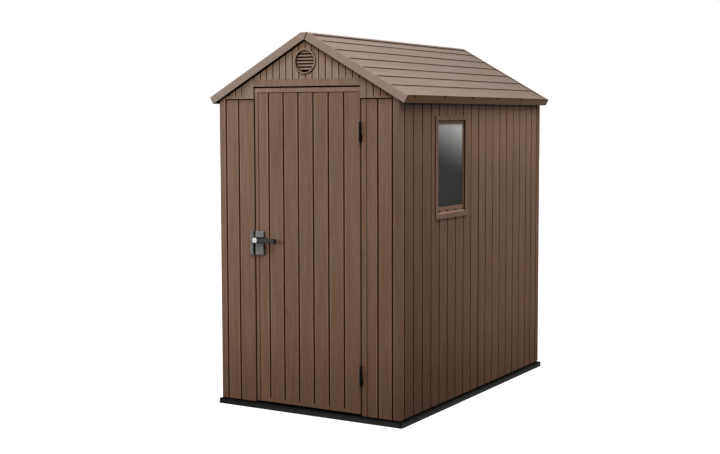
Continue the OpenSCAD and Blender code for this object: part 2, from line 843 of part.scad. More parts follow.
module hinge_frame(z) { color(lever_black) knuckle(frame_knuckle_z(z), frame_knuckle_h, 1); }
module hinge_door(z) { color(lever_black) knuckle(door_knuckle_z(z), door_knuckle_h, -1); }
module hinge_pin(z) {
  z0 = frame_knuckle_z(z);
  color(lever_black) translate([hinge_x, hinge_y, 0]) {
    translate([0, 0, z0]) cylinder(h = pin_cap_z(z) - z0 + 1, r = pin_r);
    translate([0, 0, pin_cap_z(z)]) cylinder(h = pin_cap_h, r = pin_cap_r);
  }
}

module hinge_upper_frame() { hinge_frame(hinge_upper_z); }
module hinge_upper_door() { hinge_door(hinge_upper_z); }
module hinge_upper_pin() { hinge_pin(hinge_upper_z); }
module hinge_lower_frame() { hinge_frame(hinge_lower_z); }
module hinge_lower_door() { hinge_door(hinge_lower_z); }
module hinge_lower_pin() { hinge_pin(hinge_lower_z); }

// ---- Handle ----

// A plate on the front face, from x0, with its front edges bevelled
module plate(x0, w) {
  b = plate_bevel;
  intersection() {
    translate([0, 0, plate_z0]) linear_extrude(height = plate_h)
      polygon([[x0, front_y], [x0, plate_face_y + b], [x0 + b, plate_face_y], [x0 + w - b, plate_face_y],
        [x0 + w, plate_face_y + b], [x0 + w, front_y]]);
    translate([x0 - 1, 0, 0]) rotate([90, 0, 90]) linear_extrude(height = w + 2)
      polygon([[front_y, plate_z0], [plate_face_y + b, plate_z0], [plate_face_y, plate_z0 + b],
        [plate_face_y, plate_z0 + plate_h - b], [plate_face_y + b, plate_z0 + plate_h], [front_y, plate_z0 + plate_h]]);
  }
}

module door_lock_plate() {
  color(plate_grey) difference() {
    plate(door_x0 + plate_x, plate_w);
    translate([lever_axis_x, front_y - plate_t - 1, lever_z]) rotate([-90, 0, 0])
      cylinder(h = plate_t, r = spindle_r + spindle_play);
  }
}

module keeper_plate() { color(plate_grey) plate(opening_x0 - keeper_w - 1, keeper_w); }

// Lever: a spindle, a round hub, a high root and a bar with an eased tip
module door_lever() {
  r = lever_h / 2;
  ease = lever_h / 6;
  color(lever_black) difference() {
    union() {
      translate([lever_axis_x, front_y - spindle_end, lever_z]) rotate([90, 0, 0])
        cylinder(h = plate_t - spindle_end + lever_gap + 1, r = spindle_r);
      translate([lever_axis_x, lever_back_y, lever_z]) rotate([90, 0, 0]) cylinder(h = lever_t + 1, r = hub_r);
      translate([lever_axis_x, lever_back_y, lever_z]) rotate([90, 0, 0]) linear_extrude(height = lever_t)
        polygon([[0, -hub_r], [0, hub_r], [root_l, r + root_rise], [root_l + root_rise, r], [lever_l - ease, r],
          [lever_l, r - ease], [lever_l, ease - r], [lever_l - ease, -r], [root_l / 2, -r]]);
    }
    translate([lever_axis_x, lever_face_y - 3, lever_z]) rotate([-90, 0, 0]) cylinder(h = 4, r = lock_r);
  }
}

// Round lock with its key slot, in the front of the hub
module door_lock() {
  color([0.8, 0.8, 0.8]) difference() {
    translate([lever_axis_x, lever_face_y + 1, lever_z]) rotate([90, 0, 0]) cylinder(h = 4, r = lock_r - 0.1);
    translate([lever_axis_x - key_w / 2, lever_face_y - 4, lever_z - key_h / 2]) cube([key_w, 2.5, key_h]);
  }
}

floor();
corner_post_front_left();
corner_post_front_right();
corner_post_rear_left();
corner_post_rear_right();
front_wall_left();
front_wall_right();
front_gable();
right_wall_front();
right_wall_rear();
left_wall_front();
left_wall_rear();
rear_wall_left();
rear_wall_right();
rear_gable();
window_frame();
window_glass();
front_vent_ring();
front_vent_louvres();
rear_vent_ring();
rear_vent_louvres();
roof_right();
roof_left();
ridge_cap();
verge_trim_front_right();
verge_trim_front_left();
verge_trim_rear_right();
verge_trim_rear_left();
eave_fascia_right();
eave_fascia_left();
door_leaf();
door_lock_plate();
keeper_plate();
door_lever();
door_lock();
hinge_upper_frame();
hinge_upper_door();
hinge_upper_pin();
hinge_lower_frame();
hinge_lower_door();
hinge_lower_pin();
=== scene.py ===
"""Looks of a moulded garden shed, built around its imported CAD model.

Sizes are in metres in the frame of the model: +X right, -Y front, +Z up. Every CAD node is replaced by
a soft edged copy of itself that carries a board number on its faces, and gets a procedural finish.
"""

import json
import logging
import math
import random
from dataclasses import asdict, dataclass, replace
from enum import Enum
from typing import Callable, Optional, Sequence, Union

import bmesh
import bpy
from mathutils import Euler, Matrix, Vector


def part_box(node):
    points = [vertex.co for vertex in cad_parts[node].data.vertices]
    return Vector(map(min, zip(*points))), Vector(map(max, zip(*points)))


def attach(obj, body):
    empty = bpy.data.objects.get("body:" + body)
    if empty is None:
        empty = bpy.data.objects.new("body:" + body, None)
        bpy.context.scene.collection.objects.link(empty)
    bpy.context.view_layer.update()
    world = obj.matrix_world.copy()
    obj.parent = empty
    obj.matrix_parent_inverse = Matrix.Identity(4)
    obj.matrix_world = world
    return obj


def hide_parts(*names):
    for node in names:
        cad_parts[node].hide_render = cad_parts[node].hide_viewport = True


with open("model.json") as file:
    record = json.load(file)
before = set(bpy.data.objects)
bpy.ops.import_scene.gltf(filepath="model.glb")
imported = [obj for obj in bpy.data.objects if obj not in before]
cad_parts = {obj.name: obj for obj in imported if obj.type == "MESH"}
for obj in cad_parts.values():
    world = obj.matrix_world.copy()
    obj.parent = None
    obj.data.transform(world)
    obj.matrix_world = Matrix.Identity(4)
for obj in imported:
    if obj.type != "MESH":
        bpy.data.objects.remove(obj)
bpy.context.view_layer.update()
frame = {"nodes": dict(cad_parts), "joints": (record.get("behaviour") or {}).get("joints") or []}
MM = 0.001
X, Y, Z = range(3)
ROOF_SLOPE = math.radians(29.17)
SHARP_EDGE = math.radians(30.0)
CREASE = math.radians(35.0)
BOARD_TURN = math.radians(20.0)

Colour = tuple[float, float, float]
Point = tuple[float, float, float]
Feed = Union[bpy.types.NodeSocket, float, Sequence[float], None]

log = logging.getLogger("shed")


# ---- Named options ----


class Slot(Enum):
    """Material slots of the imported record."""

    WALL = "wall_resin"
    ROOF = "roof_resin"
    FLOOR = "floor_resin"
    HINGE = "hinge_resin"
    PLATE = "plate_resin"
    LEVER = "lever_resin"
    LOCK = "lock_metal"
    PANE = "window_pane"


class Body(Enum):
    """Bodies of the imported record."""

    SHED = "shed"
    DOOR = "door"
    LEVER = "lever"


class GrainRun(Enum):
    """Turn that brings the run of the grain on a piece to the Z axis of the grain effect."""

    UPRIGHT = (0.0, 0.0, 0.0)
    ALONG_Y = (math.pi / 2, 0.0, 0.0)
    ALONG_X = (0.0, math.pi / 2, 0.0)


# ---- Shader trees ----


class Tree:
    """Adds nodes to one shader tree and joins them."""

    def __init__(self, tree: bpy.types.NodeTree) -> None:
        """Start from an empty tree.

        Args:
            tree: The tree that gets the nodes.
        """
        self.tree = tree
        self.tree.nodes.clear()

    def feed(self, socket: bpy.types.NodeSocket, value: Feed) -> None:
        """Join an output to an input, or set the input's own value.

        Args:
            socket: The input.
            value: An output socket, a plain value, or None to leave the input as it is.
        """
        if isinstance(value, bpy.types.NodeSocket):
            self.tree.links.new(value, socket)
        elif value is not None:
            if socket.type == "RGBA" and len(value) == 3:
                value = (*value, 1.0)
            socket.default_value = value

    def add(self, kind: str, inputs: Optional[dict[Union[str, int], Feed]] = None,
            **settings: object) -> bpy.types.Node:
        """Add one node.

        Args:
            kind: Type of the node, without the word ShaderNode in front.
            inputs: What feeds each named or numbered input.
            settings: Attributes of the node, such as its operation.

        Returns:
            The new node.
        """
        node = self.tree.nodes.new("ShaderNode" + kind)
        for name, value in settings.items():
            setattr(node, name, value)
        for key, value in (inputs or {}).items():
            self.feed(node.inputs[key], value)
        return node

    def maths(self, operation: str, *values: Feed, clamp: bool = False) -> bpy.types.NodeSocket:
        """Add a Math node.

        Args:
            operation: Name of the operation.
            values: Its operands in order.
            clamp: Whether the result is kept between 0 and 1.

        Returns:
            The result.
        """
        return self.add("Math", dict(enumerate(values)), operation=operation, use_clamp=clamp).outputs[0]

    def vector(self, operation: str, *values: Feed) -> bpy.types.Node:
        """Add a Vector Math node.

        Args:
            operation: Name of the operation.
            values: Its operands in order.

        Returns:
            The node.
        """
        return self.add("VectorMath", dict(enumerate(values)), operation=operation)

    def scaled(self, value: Feed, factor: Feed) -> bpy.types.NodeSocket:
        """Return a colour or a vector times a number."""
        return self.add("VectorMath", {0: value, "Scale": factor}, operation="SCALE").outputs[0]

    def ramp(self, value: Feed, low: Feed, high: Feed, start: Feed = 0.0,
             end: Feed = 1.0) -> bpy.types.NodeSocket:
        """Map a value smoothly from one range to another.

        Args:
            value: The value.
            low: Where the first range starts.
            high: Where the first range ends.
            start: Result at the start.
            end: Result at the end.

        Returns:
            The mapped value.
        """
        return self.add("MapRange", {0: value, 1: low, 2: high, 3: start, 4: end},
                        interpolation_type="SMOOTHSTEP").outputs[0]

    def mix(self, share: Feed, first: Feed, second: Feed, blend: str = "MIX") -> bpy.types.NodeSocket:
        """Mix two colours.

        Args:
            share: Share of the second colour.
            first: The first colour.
            second: The second colour.
            blend: Name of the blend.

        Returns:
            The mixed colour.
        """
        node = self.add("Mix", {0: share, 6: first, 7: second}, data_type="RGBA", blend_type=blend)
        return node.outputs[2]

    def noise(self, where: Feed, scale: float = 1.0, detail: float = 2.0,
              roughness: float = 0.5) -> bpy.types.NodeSocket:
        """Add a noise texture.

        Args:
            where: Position that it reads.
            scale: Its scale.
            detail: Number of octaves.
            roughness: Strength of the finer octaves.

        Returns:
            The noise between 0 and 1.
        """
        settings = {"Vector": where, "Scale": scale, "Detail": detail, "Roughness": roughness}
        return self.add("TexNoise", settings).outputs[0]


# ---- Effects that several finishes share ----


@dataclass(frozen=True)
class Port:
    """One named input or output of an effect."""

    name: str
    kind: str = "Float"
    default: object = 0.0


class Effect:
    """A node group with named inputs and outputs, made when it is first placed."""

    name: str = ""
    takes: tuple[Port, ...] = ()
    gives: tuple[Port, ...] = ()

    def wire(self, tree: Tree, inputs: dict[str, bpy.types.NodeSocket]) -> dict[str, Feed]:
        """Build the inside of the group.

        Args:
            tree: The group's tree.
            inputs: The group's inputs by name.

        Returns:
            What feeds each output.
        """
        raise NotImplementedError

    def group(self) -> bpy.types.NodeTree:
        """Build the node group if it isn't there yet.

        Returns:
            The node group.
        """
        found = bpy.data.node_groups.get(self.name)
        if found:
            return found
        made = bpy.data.node_groups.new(self.name, "ShaderNodeTree")
        tree = Tree(made)
        for ports, side in ((self.takes, "INPUT"), (self.gives, "OUTPUT")):
            for port in ports:
                socket = made.interface.new_socket(port.name, in_out=side,
                                                   socket_type="NodeSocket" + port.kind)
                if side == "INPUT" and port.kind != "Vector":
                    socket.default_value = port.default
        entry = made.nodes.new("NodeGroupInput")
        leave = made.nodes.new("NodeGroupOutput")
        outputs = self.wire(tree, {port.name: entry.outputs[port.name] for port in self.takes})
        for name, value in outputs.items():
            tree.feed(leave.inputs[name], value)
        return made

    def place(self, tree: Tree, **inputs: Feed) -> bpy.types.Node:
        """Place the effect in a tree.

        Args:
            tree: The tree of the material.
            inputs: What feeds each input, by its name in small letters.

        Returns:
            The group node.
        """
        node = tree.add("Group")
        node.node_tree = self.group()
        for name, value in inputs.items():
            tree.feed(node.inputs[name.capitalize()], value)
        return node


class WoodGrain(Effect):
    """The wood grain that the mould presses into the resin, running along Z."""

    name = "moulded_wood_grain"
    takes = (Port("Position", "Vector"), Port("Board"))
    gives = (Port("Tone"), Port("Height"), Port("Drift"))

    def wire(self, tree: Tree, inputs: dict[str, bpy.types.NodeSocket]) -> dict[str, Feed]:
        """Mix broad streaks, mottling, fine lines and contour rings.

        Args:
            tree: The group's tree.
            inputs: The group's inputs by name.

        Returns:
            What feeds each output.
        """
        shift = tree.scaled((7.3, 3.1, 11.9), inputs["Board"])
        where = tree.vector("ADD", inputs["Position"], shift).outputs[0]

        def grain(across: float, along: float, detail: float, roughness: float) -> bpy.types.NodeSocket:
            """Return noise with so many waves to the metre across the grain and along it."""
            place = tree.vector("MULTIPLY", where, (across, across, along)).outputs[0]
            return tree.noise(place, detail=detail, roughness=roughness)

        streaks = grain(85.0, 2.4, 3.0, 0.55)
        mottle = grain(150.0, 22.0, 2.0, 0.6)
        lines = grain(520.0, 9.0, 3.0, 0.6)
        contour = grain(13.0, 0.8, 1.0, 0.4)
        rings = tree.ramp(tree.maths("SINE", tree.maths("MULTIPLY", contour, 95.0)), 0.2, 1.0)
        tone = tree.maths("MULTIPLY_ADD", streaks, 0.45, tree.maths("MULTIPLY", mottle, 0.35))
        tone = tree.maths("MULTIPLY_ADD", lines, 0.2, tone)
        tone = tree.maths("MULTIPLY_ADD", rings, -0.07, tone)
        height = tree.maths("MULTIPLY_ADD", lines, 0.55, tree.maths("MULTIPLY", mottle, 0.3))
        height = tree.maths("MULTIPLY_ADD", rings, -0.3, height)
        drift = tree.ramp(grain(34.0, 2.2, 2.0, 0.55), 0.36, 0.64)
        return {"Tone": tone, "Height": height, "Drift": drift}


class PaintedShadeAndHighlight(Effect):
    """Darkens with painted shade the faces marked for it, and lightens with a painted highlight the faces
    marked for that.
    """

    name = "hollow_shade"
    takes = (Port("Colour", "Color", (0.5, 0.5, 0.5, 1.0)), Port("Dark", "Color", (0.0, 0.0, 0.0, 1.0)),
             Port("Lift", default=1.1))
    gives = (Port("Colour", "Color"), Port("Gloss"))

    def wire(self, tree: Tree, inputs: dict[str, bpy.types.NodeSocket]) -> dict[str, Feed]:
        """Read the marks of the faces and mix the colours.

        Args:
            tree: The group's tree.
            inputs: The group's inputs by name.

        Returns:
            What feeds each output.
        """
        hollow = tree.add("Attribute", attribute_name="hollow").outputs["Fac"]
        rub = tree.add("Attribute", attribute_name="rub").outputs["Fac"]
        lift = tree.maths("MULTIPLY_ADD", rub, tree.maths("SUBTRACT", inputs["Lift"], 1.0), 1.0)
        highlighted = tree.scaled(inputs["Colour"], lift)
        return {"Colour": tree.mix(hollow, highlighted, inputs["Dark"]), "Gloss": hollow}


class VergeShade(Effect):
    """Shade of a wall under the sloping trims of the roof."""

    name = "verge_shade"
    takes = (Port("Position", "Vector"), Port("Across"), Port("Up"), Port("Edge"), Port("Reach"),
             Port("Least"), Port("Skew"))
    gives = (Port("Light"),)

    def wire(self, tree: Tree, inputs: dict[str, bpy.types.NodeSocket]) -> dict[str, Feed]:
        """Measure how far a point lies below the trims.

        Args:
            tree: The group's tree.
            inputs: The group's inputs by name.

        Returns:
            What feeds each output.
        """
        part = tree.add("SeparateXYZ", {0: inputs["Position"]})
        slope = tree.maths("MULTIPLY", tree.maths("ABSOLUTE", part.outputs[0]), inputs["Across"])
        height = tree.maths("MULTIPLY_ADD", part.outputs[2], inputs["Up"], slope)
        edge = tree.maths("MULTIPLY_ADD", part.outputs[0], inputs["Skew"], inputs["Edge"])
        below = tree.maths("SUBTRACT", edge, height)
        soft = tree.add("MapRange", {0: below, 2: inputs["Reach"], 3: inputs["Least"]}).outputs[0]
        contact = tree.ramp(below, -1.5 * MM, 1.5 * MM, 0.02, 1.0)
        return {"Light": tree.maths("MULTIPLY", soft, contact)}


class Stipple(Effect):
    """Fine spark eroded texture of a plain moulded face."""

    name = "mould_stipple"
    takes = (Port("Position", "Vector"),)
    gives = (Port("Tone"), Port("Height"))

    def wire(self, tree: Tree, inputs: dict[str, bpy.types.NodeSocket]) -> dict[str, Feed]:
        """Mix two noises of different grain.

        Args:
            tree: The group's tree.
            inputs: The group's inputs by name.

        Returns:
            What feeds each output.
        """
        fine = tree.noise(inputs["Position"], 900.0, 2.0, 0.6)
        broad = tree.noise(inputs["Position"], 35.0, 3.0, 0.55)
        tone = tree.maths("MULTIPLY_ADD", fine, 0.4, tree.maths("MULTIPLY", broad, 0.6))
        return {"Tone": tone, "Height": fine}


# ---- Finishes ----


@dataclass(frozen=True)
class Fade:
    """Painted light and shade: a slow change of brightness along one axis of the shed, between low and high
    on that axis.

    An even fade is the same on both sides of the middle of the shed.
    """

    axis: int
    low: float
    high: float
    start: float
    end: float
    even: bool = False


@dataclass(frozen=True)
class Patch:
    """Upright rectangle, between two corners given as (x, z), where the colour is multiplied by a tone and a
    tint; used for painted light and shade, and for darker parts of the front gable and the lever.
    """

    low: tuple[float, float]
    high: tuple[float, float]
    tone: float
    tint: Colour = (1.0, 1.0, 1.0)


@dataclass(frozen=True)
class Verge:
    """Lower edge of the sloping trims over a wall, and the shade that they throw.

    The edge is where across * |x| + up * z equals edge + skew * x. The shade fades out over reach.
    """

    across: float
    up: float
    edge: float
    reach: float = 0.05
    least: float = 0.55
    skew: float = 0.0


@dataclass(frozen=True)
class Finish:
    """What every finish has: a name, a slot of the record and a shader built by its paint method."""

    name: str
    slot: Slot
    roughness: float = 0.5
    specular: float = 0.5

    def paint(self, tree: Tree) -> dict[str, Feed]:
        """Build the nodes that feed the shader.

        Args:
            tree: The material's tree.

        Returns:
            What feeds each input of the shader, by name.
        """
        raise NotImplementedError

    def material(self) -> bpy.types.Material:
        """Make the material of this finish if it isn't there yet.

        Returns:
            The material.
        """
        found = bpy.data.materials.get(self.name)
        if found:
            return found
        made = bpy.data.materials.new(self.name)
        made.use_nodes = True
        tree = Tree(made.node_tree)
        shader = tree.add("BsdfPrincipled", {"Roughness": self.roughness,
                                             "Specular IOR Level": self.specular})
        for name, value in self.paint(tree).items():
            tree.feed(shader.inputs[name], value)
        tree.add("OutputMaterial", {"Surface": shader.outputs[0]})
        return made

    @staticmethod
    def faded(tree: Tree, tone: Feed, part: Sequence[bpy.types.NodeSocket],
              fades: Sequence[Fade]) -> bpy.types.NodeSocket:
        """Multiply a tone by painted light and shade that change slowly along the axes.

        Args:
            tree: The material's tree.
            tone: The tone.
            part: X, Y and Z of the position.
            fades: The changes.

        Returns:
            The changed tone.
        """
        for fade in fades:
            along = tree.maths("ABSOLUTE", part[fade.axis]) if fade.even else part[fade.axis]
            tone = tree.maths("MULTIPLY", tone, tree.ramp(along, fade.low, fade.high, fade.start, fade.end))
        return tone

    @staticmethod
    def patched(tree: Tree, colour: Feed, part: Sequence[bpy.types.NodeSocket],
                patches: Sequence[Patch]) -> Feed:
        """Multiply a colour by those of the patches that a point lies in.

        Args:
            tree: The material's tree.
            colour: The colour.
            part: X, Y and Z of the position.
            patches: The patches.

        Returns:
            The changed colour.
        """
        for patch in patches:
            across, up = (tree.maths("COMPARE", part[axis], (low + high) / 2, (high - low) / 2)
                          for axis, low, high in zip((X, Z), patch.low, patch.high))
            inside = tree.maths("MULTIPLY", across, up)
            colour = tree.mix(inside, colour, tuple(patch.tone * c for c in patch.tint), "MULTIPLY")
        return colour

    @staticmethod
    def relief(tree: Tree, height: Feed, depth: float, strength: float = 1.0) -> bpy.types.NodeSocket:
        """Add a bump of a real depth.

        Args:
            tree: The material's tree.
            height: Height between 0 and 1.
            depth: Depth of the relief in metres.
            strength: Strength of the bump.

        Returns:
            The normal.
        """
        return tree.add("Bump", {"Strength": strength, "Distance": depth, "Height": height}).outputs[0]


@dataclass(frozen=True)
class GrainedResin(Finish):
    """Brown resin with a moulded wood grain, with painted shade in its grooves and a painted highlight on
    their shoulders.
    """

    specular: float = 0.2
    tint: Colour = (0.23, 0.132, 0.086)
    spread: float = 0.17
    drift: float = 1.0
    foot_drift: float = 0.15
    # Colour of the painted shade in the grooves and on other faces marked for it.
    groove: Colour = (0.023, 0.0055, 0.0008)
    run: GrainRun = GrainRun.UPRIGHT
    tilt: float = 0.0
    board_spread: float = 0.025
    relief_depth: float = 0.2 * MM
    # Brightening of the painted highlight on the shoulders of grooves.
    lift: float = 1.28
    verge: Optional[Verge] = None
    fades: tuple[Fade, ...] = ()
    patches: tuple[Patch, ...] = ()
    shade_tint: Colour = (1.15, 0.85, 0.6)

    def shifted(self, shift: Colour) -> Colour:
        """Return the tint with a share of each channel added, times the drift."""
        return tuple(c * (1.0 + self.drift * w) for c, w in zip(self.tint, shift))

    def paint(self, tree: Tree) -> dict[str, Feed]:
        """Grain along the boards, a tone for each board, painted shade in the grooves and a painted highlight
        on their shoulders.

        Args:
            tree: The material's tree.

        Returns:
            What feeds each input of the shader, by name.
        """
        place = tree.add("TexCoord").outputs["Object"]
        turned = tree.add("Mapping", {"Vector": place})
        turn = Euler(self.run.value)
        turn.rotate_axis("Y", self.tilt)
        turned.inputs["Rotation"].default_value = turn
        board = tree.add("Attribute", attribute_name="board").outputs["Fac"]
        grain = WoodGrain().place(tree, position=turned.outputs[0], board=board)
        streaks = tree.ramp(grain.outputs["Tone"], 0.3, 0.7, 1.0 - self.spread, 1.0 + self.spread)
        tone = tree.maths("MULTIPLY_ADD", board, 2.0 * self.board_spread, 1.0 - self.board_spread)
        tone = tree.maths("MULTIPLY", tone, streaks)
        part = tree.add("SeparateXYZ", {0: place}).outputs
        low_share = tree.ramp(part[Z], 0.0, 1.0, self.foot_drift, 1.0)
        colour = tree.mix(tree.maths("MULTIPLY", grain.outputs["Drift"], low_share),
                          self.shifted((0.0, -0.07, -0.13)), self.shifted((0.03, 0.09, 0.16)))
        # Painted shade under the trims, warmer as it darkens.
        if self.verge:
            light = VergeShade().place(tree, position=place, **asdict(self.verge)).outputs["Light"]
            tone = tree.maths("MULTIPLY", tone, light)
            colour = tree.mix(light, tuple(c * w for c, w in zip(self.tint, self.shade_tint)), colour)
        # Painted light and shade from the fades and patches.
        colour = tree.scaled(colour, self.faded(tree, tone, part, self.fades))
        colour = self.patched(tree, colour, part, self.patches)
        marked = PaintedShadeAndHighlight().place(tree, colour=colour, dark=self.groove, lift=self.lift)
        rough = tree.maths("MULTIPLY_ADD", grain.outputs["Tone"], -0.12, self.roughness + 0.06)
        rough = tree.maths("MULTIPLY_ADD", marked.outputs["Gloss"], 0.4, rough)
        return {
            "Base Color": marked.outputs["Colour"],
            "Roughness": rough,
            "Normal": self.relief(tree, grain.outputs["Height"], self.relief_depth),
        }


@dataclass(frozen=True)
class StippledResin(Finish):
    """Plain moulded resin with a fine stipple, with painted shade on the faces marked for it."""

    colour: Colour = (0.02, 0.02, 0.02)
    spread: float = 0.25
    relief_depth: float = 0.1 * MM
    # Colour of the painted shade on the faces marked for it.
    sides: Colour = (0.002, 0.002, 0.002)
    fades: tuple[Fade, ...] = ()
    patches: tuple[Patch, ...] = ()

    def paint(self, tree: Tree) -> dict[str, Feed]:
        """Stipple with a little mottling.

        Args:
            tree: The material's tree.

        Returns:
            What feeds each input of the shader, by name.
        """
        place = tree.add("TexCoord").outputs["Object"]
        stipple = Stipple().place(tree, position=place)
        low = tuple((1.0 - self.spread) * c for c in self.colour)
        high = tuple((1.0 + self.spread) * c for c in self.colour)
        colour = tree.mix(tree.ramp(stipple.outputs["Tone"], 0.25, 0.75), low, high)
        part = tree.add("SeparateXYZ", {0: place}).outputs
        if self.fades:
            colour = tree.scaled(colour, self.faded(tree, 1.0, part, self.fades))
        colour = self.patched(tree, colour, part, self.patches)
        marked = PaintedShadeAndHighlight().place(tree, colour=colour, dark=self.sides, lift=1.3)
        rough = tree.maths("MULTIPLY_ADD", stipple.outputs["Tone"], 0.2, self.roughness - 0.1)
        rough = tree.maths("MULTIPLY_ADD", marked.outputs["Gloss"], 0.4, rough)
        return {
            "Base Color": marked.outputs["Colour"],
            "Roughness": rough,
            "Normal": self.relief(tree, stipple.outputs["Height"], self.relief_depth),
        }


@dataclass(frozen=True)
class TurnedMetal(Finish):
    """Bright metal with the fine rings of a lathe around an axis along Y."""

    colour: Colour = (0.82, 0.82, 0.83)
    centre: Point = (0.0, 0.0, 0.0)
    ring_pitch: float = 0.5 * MM

    def paint(self, tree: Tree) -> dict[str, Feed]:
        """Rings around the lever's axis.

        Args:
            tree: The material's tree.

        Returns:
            What feeds each input of the shader, by name.
        """
        place = tree.add("TexCoord").outputs["Object"]
        offset = tree.vector("SUBTRACT", place, self.centre).outputs[0]
        flat = tree.vector("MULTIPLY", offset, (1.0, 0.0, 1.0)).outputs[0]
        radius = tree.vector("LENGTH", flat).outputs["Value"]
        rings = tree.maths("SINE", tree.maths("MULTIPLY", radius, 2.0 * math.pi / self.ring_pitch))
        height = tree.maths("MULTIPLY_ADD", rings, 0.5, 0.5)
        rough = tree.maths("MULTIPLY_ADD", tree.noise(place, 300.0), 0.2, self.roughness - 0.1)
        worn = tree.mix(tree.noise(place, 180.0), tuple(0.9 * c for c in self.colour), self.colour)
        return {
            "Base Color": worn,
            "Metallic": 1.0,
            "Roughness": rough,
            "Normal": self.relief(tree, height, 0.02 * MM, 0.5),
        }


@dataclass(frozen=True)
class SkyPaintedPane(Finish):
    """Dark pane with a painted reflection of the sky, which brightens towards its upper rear corner."""

    clear: Colour = (0.023, 0.023, 0.023)
    haze: Colour = (0.86, 0.855, 0.84)
    low: tuple[float, float] = (0.0, 0.0)
    high: tuple[float, float] = (1.0, 1.0)
    slant: float = 0.2
    speck: float = 0.25
    clear_share: float = 0.35
    steepness: float = 2.4

    def paint(self, tree: Tree) -> dict[str, Feed]:
        """Painted reflection from its height and its distance from the front.

        Args:
            tree: The material's tree.

        Returns:
            What feeds each input of the shader, by name.
        """
        place = tree.add("TexCoord").outputs["Object"]
        part = tree.add("SeparateXYZ", {0: place}).outputs
        along, up = (tree.add("MapRange", {0: part[axis], 1: low, 2: high}).outputs[0]
                     for axis, low, high in zip((Y, Z), self.low, self.high))
        speck = tree.noise(place, 420.0, 2.0, 0.6)
        rise = tree.maths("MULTIPLY_ADD", tree.maths("SUBTRACT", along, 0.5), self.slant, up)
        rise = tree.maths("MULTIPLY_ADD", tree.maths("SUBTRACT", speck, 0.5), self.speck, rise)
        rise = tree.maths("SUBTRACT", rise, self.clear_share)
        rise = tree.maths("DIVIDE", rise, 1.0 - self.clear_share, clamp=True)
        share = tree.maths("POWER", rise, self.steepness)
        return {
            "Base Color": tree.mix(share, self.clear, self.haze),
            "Normal": self.relief(tree, speck, 0.05 * MM, 0.3),
        }


# ---- Meshes ----


def cad_faces(node: str) -> bmesh.types.BMesh:
    """Copy a CAD node's mesh with its triangles merged into whole faces.

    Args:
        node: Name of the CAD node.

    Returns:
        A new bmesh.
    """
    mesh = bmesh.new()
    mesh.from_mesh(frame["nodes"][node].data)
    bmesh.ops.remove_doubles(mesh, verts=mesh.verts, dist=0.02 * MM)
    bmesh.ops.dissolve_limit(mesh, angle_limit=math.radians(0.6), verts=mesh.verts, edges=mesh.edges)
    return mesh


def settled(mesh: bmesh.types.BMesh) -> bmesh.types.BMesh:
    """Copy a changed bmesh into a fresh one, so that the next bevel gives the same order on every run.

    Args:
        mesh: The bmesh, which is freed.

    Returns:
        The copy.
    """
    data = bpy.data.meshes.new("settled")
    mesh.to_mesh(data)
    mesh.free()
    fresh = bmesh.new()
    fresh.from_mesh(data)
    bpy.data.meshes.remove(data)
    return fresh


def number_boards(mesh: bmesh.types.BMesh, seed: str) -> None:
    """Give each board of a piece its own number between 0 and 1, kept as a face attribute.

    Faces that meet at a small angle belong to one board, so a groove parts two boards.

    Args:
        mesh: The piece's bmesh.
        seed: Seed of the numbers.
    """
    layer = mesh.faces.layers.float.new("board")
    numbers = random.Random(seed)
    left = set(mesh.faces)
    for first in mesh.faces:
        if first not in left:
            continue
        number = numbers.random()
        left.discard(first)
        reach = [first]
        while reach:
            face = reach.pop()
            face[layer] = number
            for edge in face.edges:
                if edge.is_manifold and edge.calc_face_angle(0.0) < BOARD_TURN:
                    near = [f for f in edge.link_faces if f in left]
                    left.difference_update(near)
                    reach.extend(near)


def ease(mesh: bmesh.types.BMesh, edges: Sequence[bmesh.types.BMEdge], width: float,
         segments: int) -> None:
    """Cut back edges of a piece, with one segment as a chamfer and with more as a round.

    Args:
        mesh: The piece's bmesh.
        edges: The edges.
        width: How far each edge is cut back on both faces.
        segments: Number of faces across the cut.
    """
    bmesh.ops.bevel(mesh, geom=edges, offset=width, offset_type="OFFSET", segments=segments, profile=0.5,
                    affect="EDGES", clamp_overlap=True, material=-1)


def soften(mesh: bmesh.types.BMesh, width: float) -> None:
    """Round the sharp edges of a piece by a width."""
    sharp = [e for e in mesh.edges if e.is_manifold and e.calc_face_angle(0.0) > SHARP_EDGE]
    ease(mesh, sharp, width, 2)


@dataclass(frozen=True)
class Skin:
    """Outer face of a piece, mirrored about the middle planes of the shed."""

    out: Vector
    reach: float

    @classmethod
    def over(cls, mesh: bmesh.types.BMesh, out: Sequence[float]) -> "Skin":
        """Lay a skin over a piece.

        Args:
            mesh: The piece's bmesh.
            out: Direction of its outer face, for the quarter of the shed where x and y are positive.

        Returns:
            The skin that touches the piece from outside.
        """
        unit = Vector(out).normalized()
        return cls(unit, max(Vector((abs(v.co.x), abs(v.co.y), v.co.z)).dot(unit) for v in mesh.verts))

    def depth(self, point: Vector) -> float:
        """Return how deep a point lies under the skin."""
        return self.reach - Vector((abs(point.x), abs(point.y), point.z)).dot(self.out)

    def lean(self, face: bmesh.types.BMFace) -> float:
        """Return how far a face looks out.

        Args:
            face: The face.

        Returns:
            1 if it looks straight out, 0 if it stands at right angles and -1 if it looks in.
        """
        middle = face.calc_center_median()
        turned = Vector((math.copysign(face.normal.x, face.normal.x * middle.x),
                         math.copysign(face.normal.y, face.normal.y * middle.y), face.normal.z))
        return turned.dot(self.out)


Mark = Callable[[bmesh.types.BMFace], float]


def mark_faces(mesh: bmesh.types.BMesh, layer_name: str, amount: Mark) -> None:
    """Keep an amount between 0 and 1 on each face, as an attribute that the finishes read.

    Args:
        mesh: The piece's bmesh.
        layer_name: Name of the attribute.
        amount: Gives the amount for a face.
    """
    layer = mesh.faces.layers.float.get(layer_name) or mesh.faces.layers.float.new(layer_name)
    mesh.faces.ensure_lookup_table()
    mesh.normal_update()
    for face in mesh.faces:
        face[layer] = max(face[layer], amount(face))


